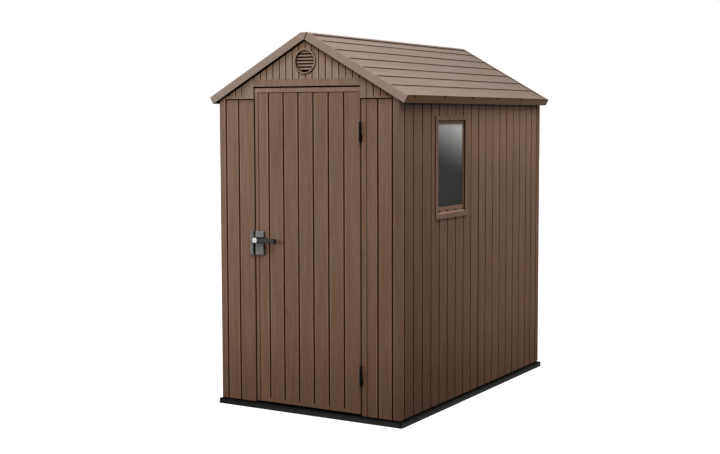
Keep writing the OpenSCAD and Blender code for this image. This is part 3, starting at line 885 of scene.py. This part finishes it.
def in_groove(skins: Sequence[Skin], deepest: float, floor: float = 3.5 * MM) -> Mark:
    """Return a mark for the sides and the floor of grooves.

    Args:
        skins: Outer faces of the piece.
        deepest: Depth past which nothing is marked.
        floor: Depth past which level faces are marked too.

    Returns:
        The mark.
    """
    shallowest, corner = 0.25 * MM, 5.0 * MM

    def amount(face: bmesh.types.BMFace) -> float:
        """Find faces in a groove, away from a corner where two skins meet.

        Args:
            face: The face.

        Returns:
            1 in a groove, 0 elsewhere.
        """
        middle = face.calc_center_median()
        depths = [skin.depth(middle) for skin in skins]
        if len(depths) > 1 and max(depths) < corner:
            return 0.0
        for skin, depth in zip(skins, depths):
            lean = skin.lean(face)
            if shallowest < depth < deepest and lean > -0.1 and (lean < 0.95 or depth > floor):
                return 1.0
        return 0.0
    return amount


def on_shoulder(skins: Sequence[Skin]) -> Mark:
    """Return a mark for the eased shoulders beside grooves, which get a painted highlight.

    Args:
        skins: Outer faces of the piece.

    Returns:
        The mark.
    """
    def amount(face: bmesh.types.BMFace) -> float:
        """Find faces that lie a little deeper than a skin and lean a little.

        Args:
            face: The face.

        Returns:
            1 on a shoulder, 0 elsewhere.
        """
        middle = face.calc_center_median()
        return float(any(0.1 * MM < skin.depth(middle) < 0.9 * MM and 0.95 < skin.lean(face) < 0.9995
                         for skin in skins))
    return amount


def mark_grooves(mesh: bmesh.types.BMesh, skins: Sequence[Skin], deepest: float,
                 floor: float = 3.5 * MM) -> None:
    """Mark grooves for painted shade and their shoulders for a painted highlight.

    Args:
        mesh: The piece's bmesh.
        skins: Outer faces of the piece.
        deepest: Depth past which nothing is marked.
        floor: Depth past which level faces are marked too.
    """
    mark_faces(mesh, "hollow", in_groove(skins, deepest, floor))
    mark_faces(mesh, "rub", on_shoulder(skins))


def new_piece(name: str, mesh: bmesh.types.BMesh) -> bpy.types.Object:
    """Turn a bmesh into an object of the scene, smooth apart from its sharp edges.

    Args:
        name: Name of the piece.
        mesh: Its bmesh, which is freed.

    Returns:
        The new object.
    """
    for face in mesh.faces:
        face.smooth = True
    for edge in mesh.edges:
        edge.smooth = edge.is_manifold and edge.calc_face_angle(0.0) < CREASE
    data = bpy.data.meshes.new(name)
    mesh.to_mesh(data)
    mesh.free()
    piece = bpy.data.objects.new(name, data)
    bpy.context.scene.collection.objects.link(piece)
    even = piece.modifiers.new("even_normals", "WEIGHTED_NORMAL")
    even.keep_sharp = True
    return piece


def dress(piece: bpy.types.Object, finish: Finish, body: Body, *nodes: str) -> None:
    """Give a piece its finish, its body and the CAD nodes that it stands for.

    Args:
        piece: The piece.
        finish: Its finish.
        body: The body that it moves with.
        nodes: The CAD nodes that it replaces.
    """
    piece.data.materials.append(finish.material())
    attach(piece, body.value)
    if nodes:
        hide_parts(*nodes)
    log.info("%-30s %-6s %6d faces  %s", piece.name, body.value, len(piece.data.polygons), finish.name)


# ---- Sub-assemblies ----


Shape = Callable[[bmesh.types.BMesh], None]


@dataclass
class SubAssembly:
    """Pieces of one kind that are soft edged copies of CAD nodes."""

    edge: float = 1.0 * MM
    body: Body = Body.SHED

    def shell(self, node: str, finish: Finish, edge: Optional[float] = None, shape: Optional[Shape] = None,
              mark: Optional[Shape] = None) -> None:
        """Build and dress the soft edged copy of one CAD node.

        Args:
            node: Name of the CAD node.
            finish: Its finish.
            edge: Width of its soft edges, or None for that of the sub-assembly.
            shape: Changes the shape before the edges are softened.
            mark: Marks the faces after that.
        """
        mesh = cad_faces(node)
        if shape:
            shape(mesh)
            mesh = settled(mesh)
        number_boards(mesh, node)
        soften(mesh, self.edge if edge is None else edge)
        if mark:
            mark(mesh)
        dress(new_piece(node + "_shell", mesh), finish, self.body, node)

    def build(self) -> None:
        """Build every piece of the sub-assembly."""
        raise NotImplementedError


@dataclass
class Walls(SubAssembly):
    """Corner posts and wall panels."""

    edge: float = 0.5 * MM
    groove_depth: float = 12.0 * MM
    seam_chamfer: float = 4.5 * MM
    wing_drop: float = 6.0 * MM
    eave_drop: float = 10.0 * MM
    side_tint: Colour = (0.24, 0.14, 0.091)

    def open_seam(self, mesh: bmesh.types.BMesh) -> None:
        """Chamfer the upright edges of a side panel along the seam in the middle of the wall.

        Args:
            mesh: The panel's bmesh.
        """
        face = max(abs(v.co.x) for v in mesh.verts)
        seam = [e for e in mesh.edges
                if all(abs(abs(v.co.x) - face) < 0.1 * MM and abs(v.co.y) < 0.05 for v in e.verts)
                and abs(e.verts[0].co.y - e.verts[1].co.y) < 0.1 * MM and e.calc_length() > 0.5]
        ease(mesh, seam, self.seam_chamfer, 1)

    def mark(self, mesh: bmesh.types.BMesh) -> None:
        """Mark the grooves for painted shade and their shoulders for a painted highlight.

        Args:
            mesh: The bmesh of a panel or post.
        """
        skins = (Skin(Vector((1.0, 0.0, 0.0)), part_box("corner_post_rear_right")[1].x),
                 Skin(Vector((0.0, 1.0, 0.0)), -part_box("front_wall_right")[0].y))
        mark_grooves(mesh, skins, self.groove_depth)

    def build(self) -> None:
        """Build the posts and panels."""
        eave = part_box("eave_fascia_right")[0].z - self.eave_drop
        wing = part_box("front_gable")[0].z - self.wing_drop
        # Painted light and shade: darker towards the foot and in the shade under the wings and eaves; lighter
        # to the left of the front and the posts, towards the rear of the sides, on the sides just under the
        # eave and on the side faces of the posts.
        foot = Fade(Z, 0.0, 0.5, 0.76, 1.0)
        front = GrainedResin("front_board_resin", Slot.WALL, 0.52,
                             fades=(foot, Fade(X, -0.5, 0.4, 1.06, 0.95)),
                             verge=Verge(0.0, 1.0, wing, 0.035, 0.7))
        side = GrainedResin("side_board_resin", Slot.WALL, 0.52, tint=self.side_tint,
                            fades=(foot, Fade(Y, -0.9, 0.4, 0.84, 1.22), Fade(Z, 1.2, 1.66, 1.0, 1.38)),
                            verge=Verge(0.0, 1.0, eave, 0.023, 0.8))
        post = GrainedResin("corner_post_resin", Slot.WALL, 0.52,
                            fades=(foot, Fade(X, -0.5, 0.5, 1.06, 0.84),
                                   Fade(Y, 0.9035, 0.9055, 1.45, 0.93, even=True)))
        for node in frame["nodes"]:
            if node.startswith(("right_wall", "left_wall")):
                self.shell(node, side, shape=self.open_seam, mark=self.mark)
            elif "wall" in node:
                self.shell(node, front, mark=self.mark)
            elif "corner_post" in node:
                self.shell(node, post, mark=self.mark)


@dataclass
class Gables(SubAssembly):
    """Front and rear gable panels, which stand proud of the walls."""

    edge: float = 0.5 * MM
    trim_depth: float = 48.0 * MM
    trim_skew: float = 5.0 * MM
    ridge_half: float = 20.0 * MM
    door_gap: float = 7.0 * MM
    header_top: float = 103.5 * MM
    tint: Colour = (0.340, 0.237, 0.175)
    # Colour of the painted shade in the grooves.
    groove_tint: Colour = (0.045, 0.017, 0.007)
    groove_depth: float = 5.0 * MM
    groove_floor: float = 3.2 * MM
    wing_widths: tuple[float, float] = (0.1, 0.25)
    bead_width: float = 3.4 * MM
    bead_depth: float = 1.4 * MM
    bead_gap: float = 0.6 * MM
    bead_rise: float = 6.0 * MM
    bead_steps: int = 6
    bead_edge: float = 0.3 * MM

    def verge(self) -> Verge:
        """Find the line of the trims' lower edge, as it falls on the gables.

        Returns:
            The line and the shade under it.
        """
        across, up = math.sin(ROOF_SLOPE), math.cos(ROOF_SLOPE)
        edge = across * self.ridge_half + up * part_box("ridge_cap")[1].z - self.trim_depth
        return Verge(across, up, edge, skew=self.trim_skew)

    def mark(self, mesh: bmesh.types.BMesh) -> None:
        """Mark the fine grooves for painted shade and their shoulders for a painted highlight.

        Args:
            mesh: The gable's bmesh.
        """
        skins = (Skin.over(mesh, (0.0, 1.0, 0.0)),)
        mark_grooves(mesh, skins, self.groove_depth, self.groove_floor)

    def tones(self) -> tuple[Patch, ...]:
        """Find where the front gable's header and its wings lie, which are drawn darker than the rest.

        Returns:
            One patch for each of the three.
        """
        low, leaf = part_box("front_gable")[0].z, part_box("door_leaf")
        left, right = leaf[0].x - self.door_gap, leaf[1].x + self.door_gap
        head = low + self.header_top
        return (Patch((left, leaf[1].z), (right, head), 0.75, (1.02, 0.98, 0.95)),
                Patch((left - self.wing_widths[0], low), (left, head), 0.91),
                Patch((right, low), (right + self.wing_widths[1], head), 0.82, (1.05, 0.97, 0.92)))

    def build(self) -> None:
        """Build both gables."""
        # Painted shade under the trims, and painted light that dims towards the ends of the gables.
        plain = GrainedResin("rear_gable_board_resin", Slot.WALL, 0.52, 0.1, tint=self.tint, drift=0.5,
                             groove=self.groove_tint, board_spread=0.0, verge=self.verge(),
                             fades=(Fade(X, 0.0, 0.5, 1.0, 0.88),))
        front = replace(plain, name="gable_board_resin", patches=self.tones())
        self.shell("front_gable", front, mark=self.mark)
        self.shell("rear_gable", plain, mark=self.mark)
        self.gap_bead(front)

    def gap_bead(self, finish: Finish) -> None:
        """Lay the flush bead of the gable that closes the gap beside the top of the door.

        Args:
            finish: Finish of the front gable.
        """
        low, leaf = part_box("front_gable")[0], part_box("door_leaf")[1]
        left, front = leaf.x + self.bead_gap, low.y
        right, back = left + self.bead_width, front + self.bead_depth
        corners = ((left, front), (right, front), (right, back), (left, back))
        step = (leaf.z - low.z + self.bead_rise) / self.bead_steps
        mesh = bmesh.new()
        rings = [[mesh.verts.new((x, y, low.z + i * step)) for x, y in corners]
                 for i in range(self.bead_steps + 1)]
        for under, over in zip(rings, rings[1:]):
            for i in range(len(corners)):
                mesh.faces.new((under[i - 1], under[i], over[i], over[i - 1]))
        mesh.faces.new(rings[0][::-1])
        mesh.faces.new(rings[-1])
        mesh.normal_update()
        soften(mesh, self.bead_edge)
        dress(new_piece("gable_gap_bead", mesh), finish, self.body)


@dataclass
class Vents(SubAssembly):
    """Rings and louvres of the gable vents."""

    edge: float = 0.5 * MM
    louvre_depth: float = 30.0 * MM
    louvre_floor: float = 1.0 * MM
    ring_inside: float = 58.5 * MM
    ring_foot: float = 2.5 * MM

    def mark(self, mesh: bmesh.types.BMesh) -> None:
        """Mark what lies behind the lips of the louvres for painted shade.

        Args:
            mesh: The louvres' bmesh.
        """
        skins = (Skin.over(mesh, (0.0, 1.0, 0.0)),)
        mark_faces(mesh, "hollow", in_groove(skins, self.louvre_depth, self.louvre_floor))

    def mark_ring(self, mesh: bmesh.types.BMesh) -> None:
        """Mark the inside of the ring and its foot on the gable for painted shade.

        Args:
            mesh: The ring's bmesh.
        """
        skin = Skin.over(mesh, (0.0, 1.0, 0.0))
        middle = 0.5 * (max(v.co.z for v in mesh.verts) + min(v.co.z for v in mesh.verts))

        def amount(face: bmesh.types.BMFace) -> float:
            """Find faces inside the ring and on its outer sides.

            Args:
                face: The face.

            Returns:
                1 inside, a little less on the outer sides and 0 elsewhere.
            """
            centre = face.calc_center_median()
            if math.hypot(centre.x, centre.z - middle) < self.ring_inside:
                return 1.0
            return 0.85 if skin.depth(centre) > self.ring_foot and abs(face.normal.y) < 0.7 else 0.0
        mark_faces(mesh, "hollow", amount)

    def build(self) -> None:
        """Build both vents."""
        # The groove colour here is the painted shade behind the louvres and inside the ring.
        finish = GrainedResin("vent_resin", Slot.WALL, 0.5, 0.1, tint=(0.335, 0.238, 0.176), drift=0.4,
                              groove=(0.038, 0.012, 0.004), run=GrainRun.ALONG_X, board_spread=0.0)
        for side in ("front", "rear"):
            self.shell(f"{side}_vent_ring", finish, mark=self.mark_ring)
            self.shell(f"{side}_vent_louvres", finish, mark=self.mark)


@dataclass
class Roof(SubAssembly):
    """Roof panels with their shingle courses, ridge cap, verge trims and eave fascias."""

    edge: float = 0.8 * MM
    trim_edge: float = 0.3 * MM
    course_depth: float = 8.0 * MM
    notch_depth: float = 8.0 * MM
    notch_floor: float = 2.0 * MM
    seam_half: float = 24.0 * MM
    seam_height: float = 45.0 * MM
    seam_chamfer: float = 1.6 * MM
    tint: Colour = (0.230, 0.173, 0.139)
    trim_tint: Colour = (0.330, 0.247, 0.197)
    fascia_tint: Colour = (0.39, 0.226, 0.142)

    def mark_courses(self, mesh: bmesh.types.BMesh) -> None:
        """Mark the edges of the shingle courses and the underside for painted shade.

        Args:
            mesh: The roof panel's bmesh.
        """
        skin = Skin.over(mesh, (math.sin(ROOF_SLOPE), 0.0, math.cos(ROOF_SLOPE)))

        def amount(face: bmesh.types.BMFace) -> float:
            """Find faces of an underside or of a course's edge.

            Args:
                face: The face.

            Returns:
                The mark.
            """
            if face.normal.z < -0.5:
                return 0.9
            near = skin.depth(face.calc_center_median()) < self.course_depth
            return 0.6 if near and -0.2 < skin.lean(face) < 0.8 and abs(face.normal.y) < 0.4 else 0.0
        mark_faces(mesh, "hollow", amount)

    def mark_notches(self, mesh: bmesh.types.BMesh) -> None:
        """Mark the drain notches of a fascia and its underside for painted shade.

        Args:
            mesh: The fascia's bmesh.
        """
        skin = Skin.over(mesh, (math.cos(ROOF_SLOPE), 0.0, -math.sin(ROOF_SLOPE)))
        mark_faces(mesh, "hollow", in_groove((skin,), self.notch_depth, self.notch_floor))
        mark_faces(mesh, "hollow", lambda face: 0.9 if skin.lean(face) < 0.9 and face.normal.z < 0.5 else 0.0)

    def mark_seam(self, mesh: bmesh.types.BMesh) -> None:
        """Mark the seam where two verge trims meet at the ridge, and the top and underside of a trim, for
        painted shade.

        Args:
            mesh: The trim's bmesh.
        """
        top = max(v.co.z for v in mesh.verts)

        def amount(face: bmesh.types.BMFace) -> float:
            """Find faces in the seam, on the top or on the underside.

            Args:
                face: The face.

            Returns:
                The mark.
            """
            middle, side = face.calc_center_median(), abs(face.normal.x)
            if abs(middle.x) < self.seam_half and middle.z > top - self.seam_height and side > 0.3:
                return 1.0 if abs(face.normal.z) < 0.8 else 0.0
            if face.normal.z > 0.5:
                return 0.3
            return 0.9 if face.normal.z < -0.5 else 0.0
        mark_faces(mesh, "hollow", amount)

    def open_seam(self, mesh: bmesh.types.BMesh) -> None:
        """Chamfer the edges of a verge trim along the seam at the ridge.

        Args:
            mesh: The trim's bmesh.
        """
        mesh.normal_update()
        seam = [e for e in mesh.edges
                if e.is_manifold and max(abs(v.co.x) for v in e.verts) < self.seam_half
                and any(abs(f.normal.y) > 0.9 for f in e.link_faces)
                and any(abs(f.normal.x) > 0.75 for f in e.link_faces)]
        ease(mesh, seam, self.seam_chamfer, 1)

    def build(self) -> None:
        """Build the roof."""
        cap = GrainedResin("ridge_cap_resin", Slot.ROOF, 0.55, tint=self.tint, run=GrainRun.ALONG_Y,
                           board_spread=0.0, spread=0.1)
        for side, sign in (("right", 1.0), ("left", -1.0)):
            # Painted light: the courses dim towards the rear and brighten towards the ridge.
            course = replace(cap, name=f"roof_course_resin_{side}", spread=0.12, drift=0.5,
                             fades=(Fade(Y, -0.9, 0.9, 1.0, 0.9), Fade(Z, 1.93, 2.04, 1.0, 1.12)))
            self.shell(f"roof_{side}", course, mark=self.mark_courses)
            fascia = replace(cap, name=f"eave_fascia_resin_{side}", tint=self.fascia_tint)
            self.shell(f"eave_fascia_{side}", fascia, mark=self.mark_notches)
            trim = replace(cap, name=f"verge_trim_resin_{side}", tint=self.trim_tint, run=GrainRun.ALONG_X,
                           tilt=sign * ROOF_SLOPE, spread=0.05, relief_depth=0.08 * MM, drift=0.4)
            for end in ("front", "rear"):
                self.shell(f"verge_trim_{end}_{side}", trim, self.trim_edge, self.open_seam, self.mark_seam)
        self.shell("ridge_cap", cap)


@dataclass
class Base(SubAssembly):
    """Floor base."""

    colour: Colour = (0.031, 0.031, 0.031)
    neck: tuple[float, float] = (27.0 * MM, 35.2 * MM)
    shoulder: float = 2.0 * MM
    corner: tuple[float, float] = (14.0 * MM, 3.0 * MM)
    height: float = 30.0 * MM

    def mark(self, mesh: bmesh.types.BMesh) -> None:
        """Mark the set back neck under the walls and the ledge in front of it for painted shade.

        Args:
            mesh: The base's bmesh.
        """
        def amount(face: bmesh.types.BMFace) -> float:
            """Find faces of the neck or of the ledge.

            Args:
                face: The face.

            Returns:
                1 there, 0 elsewhere.
            """
            low, high = self.neck
            height = face.calc_center_median().z
            ledge = height < high - self.shoulder and face.normal.z > 0.5
            return 1.0 if low < height < high and (face.normal.z < 0.3 or ledge) else 0.0
        mark_faces(mesh, "hollow", amount)

    def build(self) -> None:
        """Build the base, with painted shade to the left, along the top and at the right corner, and painted
        light on its side.
        """
        fades = (Fade(X, -0.6, 0.2, 0.55, 1.05), Fade(X, 0.575, 0.588, 1.0, 2.0),
                 Fade(Z, 0.020, 0.027, 1.0, 0.15))
        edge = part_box("floor")[1].x
        corner = Patch((edge - self.corner[0], 0.0), (edge - self.corner[1], self.height), 0.2)
        finish = StippledResin("base_resin", Slot.FLOOR, 0.6, 0.12, colour=self.colour, fades=fades,
                               patches=(corner,))
        self.shell("floor", finish, mark=self.mark)


@dataclass
class Window(SubAssembly):
    """Window frame and its pane, which carries a painted reflection of the sky."""

    edge: float = 0.6 * MM
    pane_edge: float = 0.4 * MM
    rim: float = 0.8 * MM
    channel: float = 10.5 * MM
    deepest: float = 22.0 * MM
    tint: Colour = (0.285, 0.168, 0.112)

    def mark(self, mesh: bmesh.types.BMesh) -> None:
        """Mark the sides of the frame, its jambs, the channel round the bead and the drain slots for painted
        shade.

        Args:
            mesh: The frame's bmesh.
        """
        skin = Skin.over(mesh, (1.0, 0.0, 0.0))

        def amount(face: bmesh.types.BMFace) -> float:
            """Find faces of the sides, the jambs, the channel and the slots.

            Args:
                face: The face.

            Returns:
                The mark.
            """
            depth, lean = skin.depth(face.calc_center_median()), skin.lean(face)
            if not self.rim <= depth <= self.deepest or lean < -0.1:
                return 0.0
            if lean < 0.5 and face.normal.z < 0.5:
                return 0.9
            return 0.9 if depth > self.channel and lean > 0.9 else 0.0
        mark_faces(mesh, "hollow", amount)

    def build(self) -> None:
        """Build the frame and the pane."""
        finish = GrainedResin("window_frame_resin", Slot.WALL, 0.5, tint=self.tint, board_spread=0.0)
        self.shell("window_frame", finish, mark=self.mark)
        low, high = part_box("window_glass")
        pane = SkyPaintedPane("frosted_pane", Slot.PANE, 0.3, 0.08, low=(low.y, low.z), high=(high.y, high.z))
        self.shell("window_glass", pane, self.pane_edge)


@dataclass
class Door(SubAssembly):
    """Door leaf."""

    edge: float = 0.5 * MM
    body: Body = Body.DOOR
    groove_depth: float = 7.0 * MM
    step_sides: tuple[float, float] = (24.0 * MM, 8.0 * MM)
    step_drops: tuple[float, float] = (29.0 * MM, 24.0 * MM)
    rim_drops: tuple[float, float] = (23.0 * MM, 3.0 * MM)

    def mark(self, mesh: bmesh.types.BMesh) -> None:
        """Mark the grooves for painted shade and their shoulders for a painted highlight.

        Args:
            mesh: The leaf's bmesh.
        """
        mark_grooves(mesh, (Skin.over(mesh, (0.0, 1.0, 0.0)),), self.groove_depth)

    def build(self) -> None:
        """Build the leaf, with a painted highlight along its top rim, painted shade in the step under the
        rim, and painted light that is brighter on the left and darker at the foot and the top.
        """
        fades = (Fade(X, -0.33, -0.12, 1.16, 1.0), Fade(Z, 0.0, 0.5, 0.80, 1.0),
                 Fade(Z, 1.0, 1.6, 1.0, 0.93))
        low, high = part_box("door_leaf")
        step = Patch((low.x + self.step_sides[0], high.z - self.step_drops[0]),
                     (high.x - self.step_sides[1], high.z - self.step_drops[1]), 0.7)
        rim = Patch((low.x, high.z - self.rim_drops[0]), (high.x, high.z - self.rim_drops[1]), 1.45,
                    (0.93, 1.02, 1.08))
        finish = GrainedResin("door_board_resin", Slot.WALL, 0.52, fades=fades, patches=(step, rim))
        self.shell("door_leaf", finish, mark=self.mark)


@dataclass
class Handle(SubAssembly):
    """Keeper plate, lock plate, lever and lock."""

    edge: float = 0.8 * MM
    lever_edge: float = 3.6 * MM
    lock_edge: float = 0.3 * MM
    lever_foot: float = 9.0 * MM
    lever_tip: float = 9.0 * MM
    lever_root: tuple[float, float] = (56.0 * MM, 9.5 * MM)
    plate_colour: Colour = (0.19, 0.19, 0.19)
    lever_colour: Colour = (0.063, 0.063, 0.062)

    def mark(self, mesh: bmesh.types.BMesh) -> None:
        """Mark the sides of a plate for painted shade.

        Args:
            mesh: The plate's bmesh.
        """
        mark_faces(mesh, "hollow", lambda face: 1.0 if face.normal.y > -0.5 else 0.0)

    def mark_lever(self, mesh: bmesh.types.BMesh) -> None:
        """Mark all of the lever but its front for painted shade.

        Args:
            mesh: The lever's bmesh.
        """
        mark_faces(mesh, "hollow", lambda face: 1.0 if face.normal.y > -0.97 else 0.0)

    def build(self) -> None:
        """Build the handle, its lever black along the lower edge, round the root and at the tip."""
        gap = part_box("keeper_plate")[1].x
        # Painted light on the plates: brighter on the lock plate, and on the lower part that the lever
        # shades.
        plate = StippledResin("plate_resin_grey", Slot.PLATE, 0.5, 0.3, colour=self.plate_colour, spread=0.35,
                              fades=(Fade(X, gap, gap + 10.0 * MM, 1.0, 1.2),
                                     Fade(Z, 0.85, 0.93, 1.12, 1.0)))
        self.shell("keeper_plate", plate, mark=self.mark)
        self.body = Body.DOOR
        self.shell("door_lock_plate", plate, mark=self.mark)
        self.body = Body.LEVER
        low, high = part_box("door_lever")
        axis = next(joint for joint in frame["joints"] if joint["name"] == "lever_turn")["pos_m"]
        root = (axis[X] + self.lever_root[0], axis[Z] + self.lever_root[1])
        patches = (Patch((low.x, low.z), (high.x, axis[Z] - self.lever_foot), 0.1),
                   Patch((high.x - self.lever_tip, low.z), (high.x, high.z), 0.1),
                   Patch((axis[X], root[1]), (root[0], high.z), 0.1))
        lever = StippledResin("lever_resin_black", Slot.LEVER, 0.42, 0.15, colour=self.lever_colour,
                              patches=patches)
        self.shell("door_lever", lever, self.lever_edge, mark=self.mark_lever)
        lock = TurnedMetal("lock_turned_metal", Slot.LOCK, 0.5, centre=tuple(axis))
        self.shell("door_lock", lock, self.lock_edge)


@dataclass
class Hinges(SubAssembly):
    """Knuckles and pins of the two hinges."""

    edge: float = 0.5 * MM
    colour: Colour = (0.012, 0.012, 0.012)
    bright_to_dark: tuple[float, float] = (4.5 * MM, 0.5 * MM)
    half_width: float = 30.0 * MM
    lower_half: float = 0.6

    def build(self) -> None:
        """Build both hinges, with a painted highlight on the left of the knuckles and painted light a little
        brighter on the lower hinge.
        """
        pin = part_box("hinge_upper_pin")
        axis = 0.5 * (pin[0].x + pin[1].x)
        side = Fade(X, axis - self.bright_to_dark[0], axis - self.bright_to_dark[1], 9.0, 0.3)
        lower = Patch((axis - self.half_width, 0.0), (axis + self.half_width, self.lower_half), 1.5)
        finish = StippledResin("hinge_resin_black", Slot.HINGE, 0.42, 0.15, colour=self.colour,
                               fades=(side,), patches=(lower,))
        for height in ("upper", "lower"):
            for part in ("frame", "door", "pin"):
                self.body = Body.DOOR if part == "door" else Body.SHED
                self.shell(f"hinge_{height}_{part}", finish)


# ---- Studio ----


@dataclass(frozen=True)
class Softbox:
    """Square light, given by its place, the point that it faces, its side and its power in watts."""

    name: str
    place: Point
    aim: Point
    size: float
    power: float

    def hang(self) -> None:
        """Hang the light."""
        data = bpy.data.lights.new(self.name, "AREA")
        data.shape = "SQUARE"
        data.size = self.size
        data.energy = self.power
        lamp = bpy.data.objects.new(self.name, data)
        lamp.location = self.place
        lamp.rotation_euler = (Vector(self.aim) - Vector(self.place)).to_track_quat("-Z", "Y").to_euler()
        bpy.context.scene.collection.objects.link(lamp)


@dataclass(frozen=True)
class Band:
    """Low band of sky round a heading, which is in degrees like the half width."""

    heading: float
    half: float
    power: float

    def share(self, tree: Tree, x: Feed, y: Feed, level: Feed) -> bpy.types.NodeSocket:
        """Give the band its power, which falls off softly on both sides.

        Args:
            tree: The tree of the sky.
            x: X of the direction.
            y: Y of the direction.
            level: Length of the direction's level part.

        Returns:
            The power towards a direction.
        """
        heading, half, soft = map(math.radians, (self.heading, self.half, 4.0))
        toward = tree.maths("MULTIPLY_ADD", x, math.cos(heading),
                            tree.maths("MULTIPLY", y, math.sin(heading)))
        toward = tree.maths("DIVIDE", toward, tree.maths("MAXIMUM", level, 0.001))
        return tree.ramp(toward, math.cos(half + soft), math.cos(half - soft), 0.0, self.power)


@dataclass
class Studio:
    """Floor, sky, lights and camera."""

    camera_place: Point = (3.618, -6.302, 1.607)
    camera_yaw: float = 29.43
    camera_pitch: float = 4.27
    lens: float = 60.9
    sensor: float = 36.0
    shift: tuple[float, float] = (-0.0557, -0.0272)
    floor_radius: float = 40.0
    floor_glow: float = 0.55
    ambient: float = 0.03
    overhead: float = 3.75
    bands: tuple[Band, ...] = (Band(-112.5, 22.5, 1.08), Band(150.0, 45.0, 1.0))
    lights: tuple[Softbox, ...] = (
        Softbox("left_light", (-3.2, -3.2, 1.8), (-0.2, -0.9, 1.2), 1.6, 49.0),
        Softbox("front_light", (1.5, -3.0, 4.6), (0.4, -0.3, 1.9), 1.5, 93.0),
        Softbox("right_light", (3.0, 0.5, 4.5), (0.6, 0.0, 1.5), 1.5, 43.0),
        Softbox("rear_light", (3.0, 3.0, 1.3), (0.57, 0.3, 1.2), 1.5, 12.0))

    @staticmethod
    def split(tree: Tree, shown: bpy.types.Node, lit: bpy.types.Node) -> bpy.types.NodeSocket:
        """Return a shader that the camera sees one way and that lights the shed another way.

        Args:
            tree: The tree of the floor or the sky.
            shown: What the camera sees.
            lit: What lights the shed.
        """
        seen = tree.add("LightPath").outputs["Is Camera Ray"]
        return tree.add("MixShader", {0: seen, 1: lit.outputs[0], 2: shown.outputs[0]}).outputs[0]

    def floor(self) -> None:
        """Lay a plain pale floor that the camera sees bright and that lights the walls only a little."""
        mesh = bmesh.new()
        bmesh.ops.create_circle(mesh, cap_ends=True, segments=96, radius=self.floor_radius)
        bmesh.ops.translate(mesh, verts=mesh.verts, vec=(0.0, 0.0, -0.5 * MM))
        piece = new_piece("studio_floor", mesh)
        made = bpy.data.materials.new("studio_floor")
        made.use_nodes = True
        tree = Tree(made.node_tree)
        glow = tree.add("Emission", {0: (1.0, 1.0, 1.0), 1: self.floor_glow})
        pale = tree.add("BsdfDiffuse", {0: (0.75, 0.75, 0.75)})
        shown = tree.add("AddShader", {0: glow.outputs[0], 1: pale.outputs[0]})
        bounced = tree.add("BsdfDiffuse", {0: (0.10, 0.09, 0.08)})
        tree.add("OutputMaterial", {"Surface": self.split(tree, shown, bounced)})
        piece.data.materials.append(made)

    def sky(self) -> None:
        """Light the shed from an overhead dome and a few low bands of sky, which the camera sees white."""
        world = bpy.data.worlds.new("studio_sky")
        bpy.context.scene.world = world
        world.use_nodes = True
        tree = Tree(world.node_tree)
        x, y, up = tree.add("SeparateXYZ", {0: tree.add("TexCoord").outputs["Generated"]}).outputs
        level = tree.maths("SQRT", tree.maths("MULTIPLY_ADD", x, x, tree.maths("MULTIPLY", y, y)))
        low = tree.ramp(up, 0.38, 0.47, 1.0, 0.0)
        strength = tree.ramp(up, 0.82, 0.91, self.ambient, self.overhead)
        for band in self.bands:
            strength = tree.maths("MULTIPLY_ADD", band.share(tree, x, y, level), low, strength)
        lit = tree.add("Background", {0: (1.0, 1.0, 1.0), 1: strength})
        white = tree.add("Background", {0: (1.0, 1.0, 1.0), 1: 1.0})
        tree.add("OutputWorld", {"Surface": self.split(tree, white, lit)})

    def camera(self) -> None:
        """Set up the camera."""
        data = bpy.data.cameras.new("camera")
        data.lens = self.lens
        data.sensor_width = self.sensor
        data.shift_x, data.shift_y = self.shift
        made = bpy.data.objects.new("camera", data)
        made.location = self.camera_place
        made.rotation_euler = (math.radians(90.0 - self.camera_pitch), 0.0, math.radians(self.camera_yaw))
        bpy.context.scene.collection.objects.link(made)
        bpy.context.scene.camera = made

    def build(self) -> None:
        """Build the studio."""
        self.camera()
        self.floor()
        self.sky()
        for light in self.lights:
            light.hang()
        bpy.context.scene.view_settings.view_transform = "Standard"


def main() -> None:
    """Build the studio and every sub-assembly."""
    logging.basicConfig(level=logging.INFO, format="%(message)s")
    Studio().build()
    for part in (Base(), Walls(), Gables(), Vents(), Roof(), Window(), Door(), Handle(), Hinges()):
        log.info("%s", type(part).__name__)
        part.build()


if __name__ == "__main__":
    main()
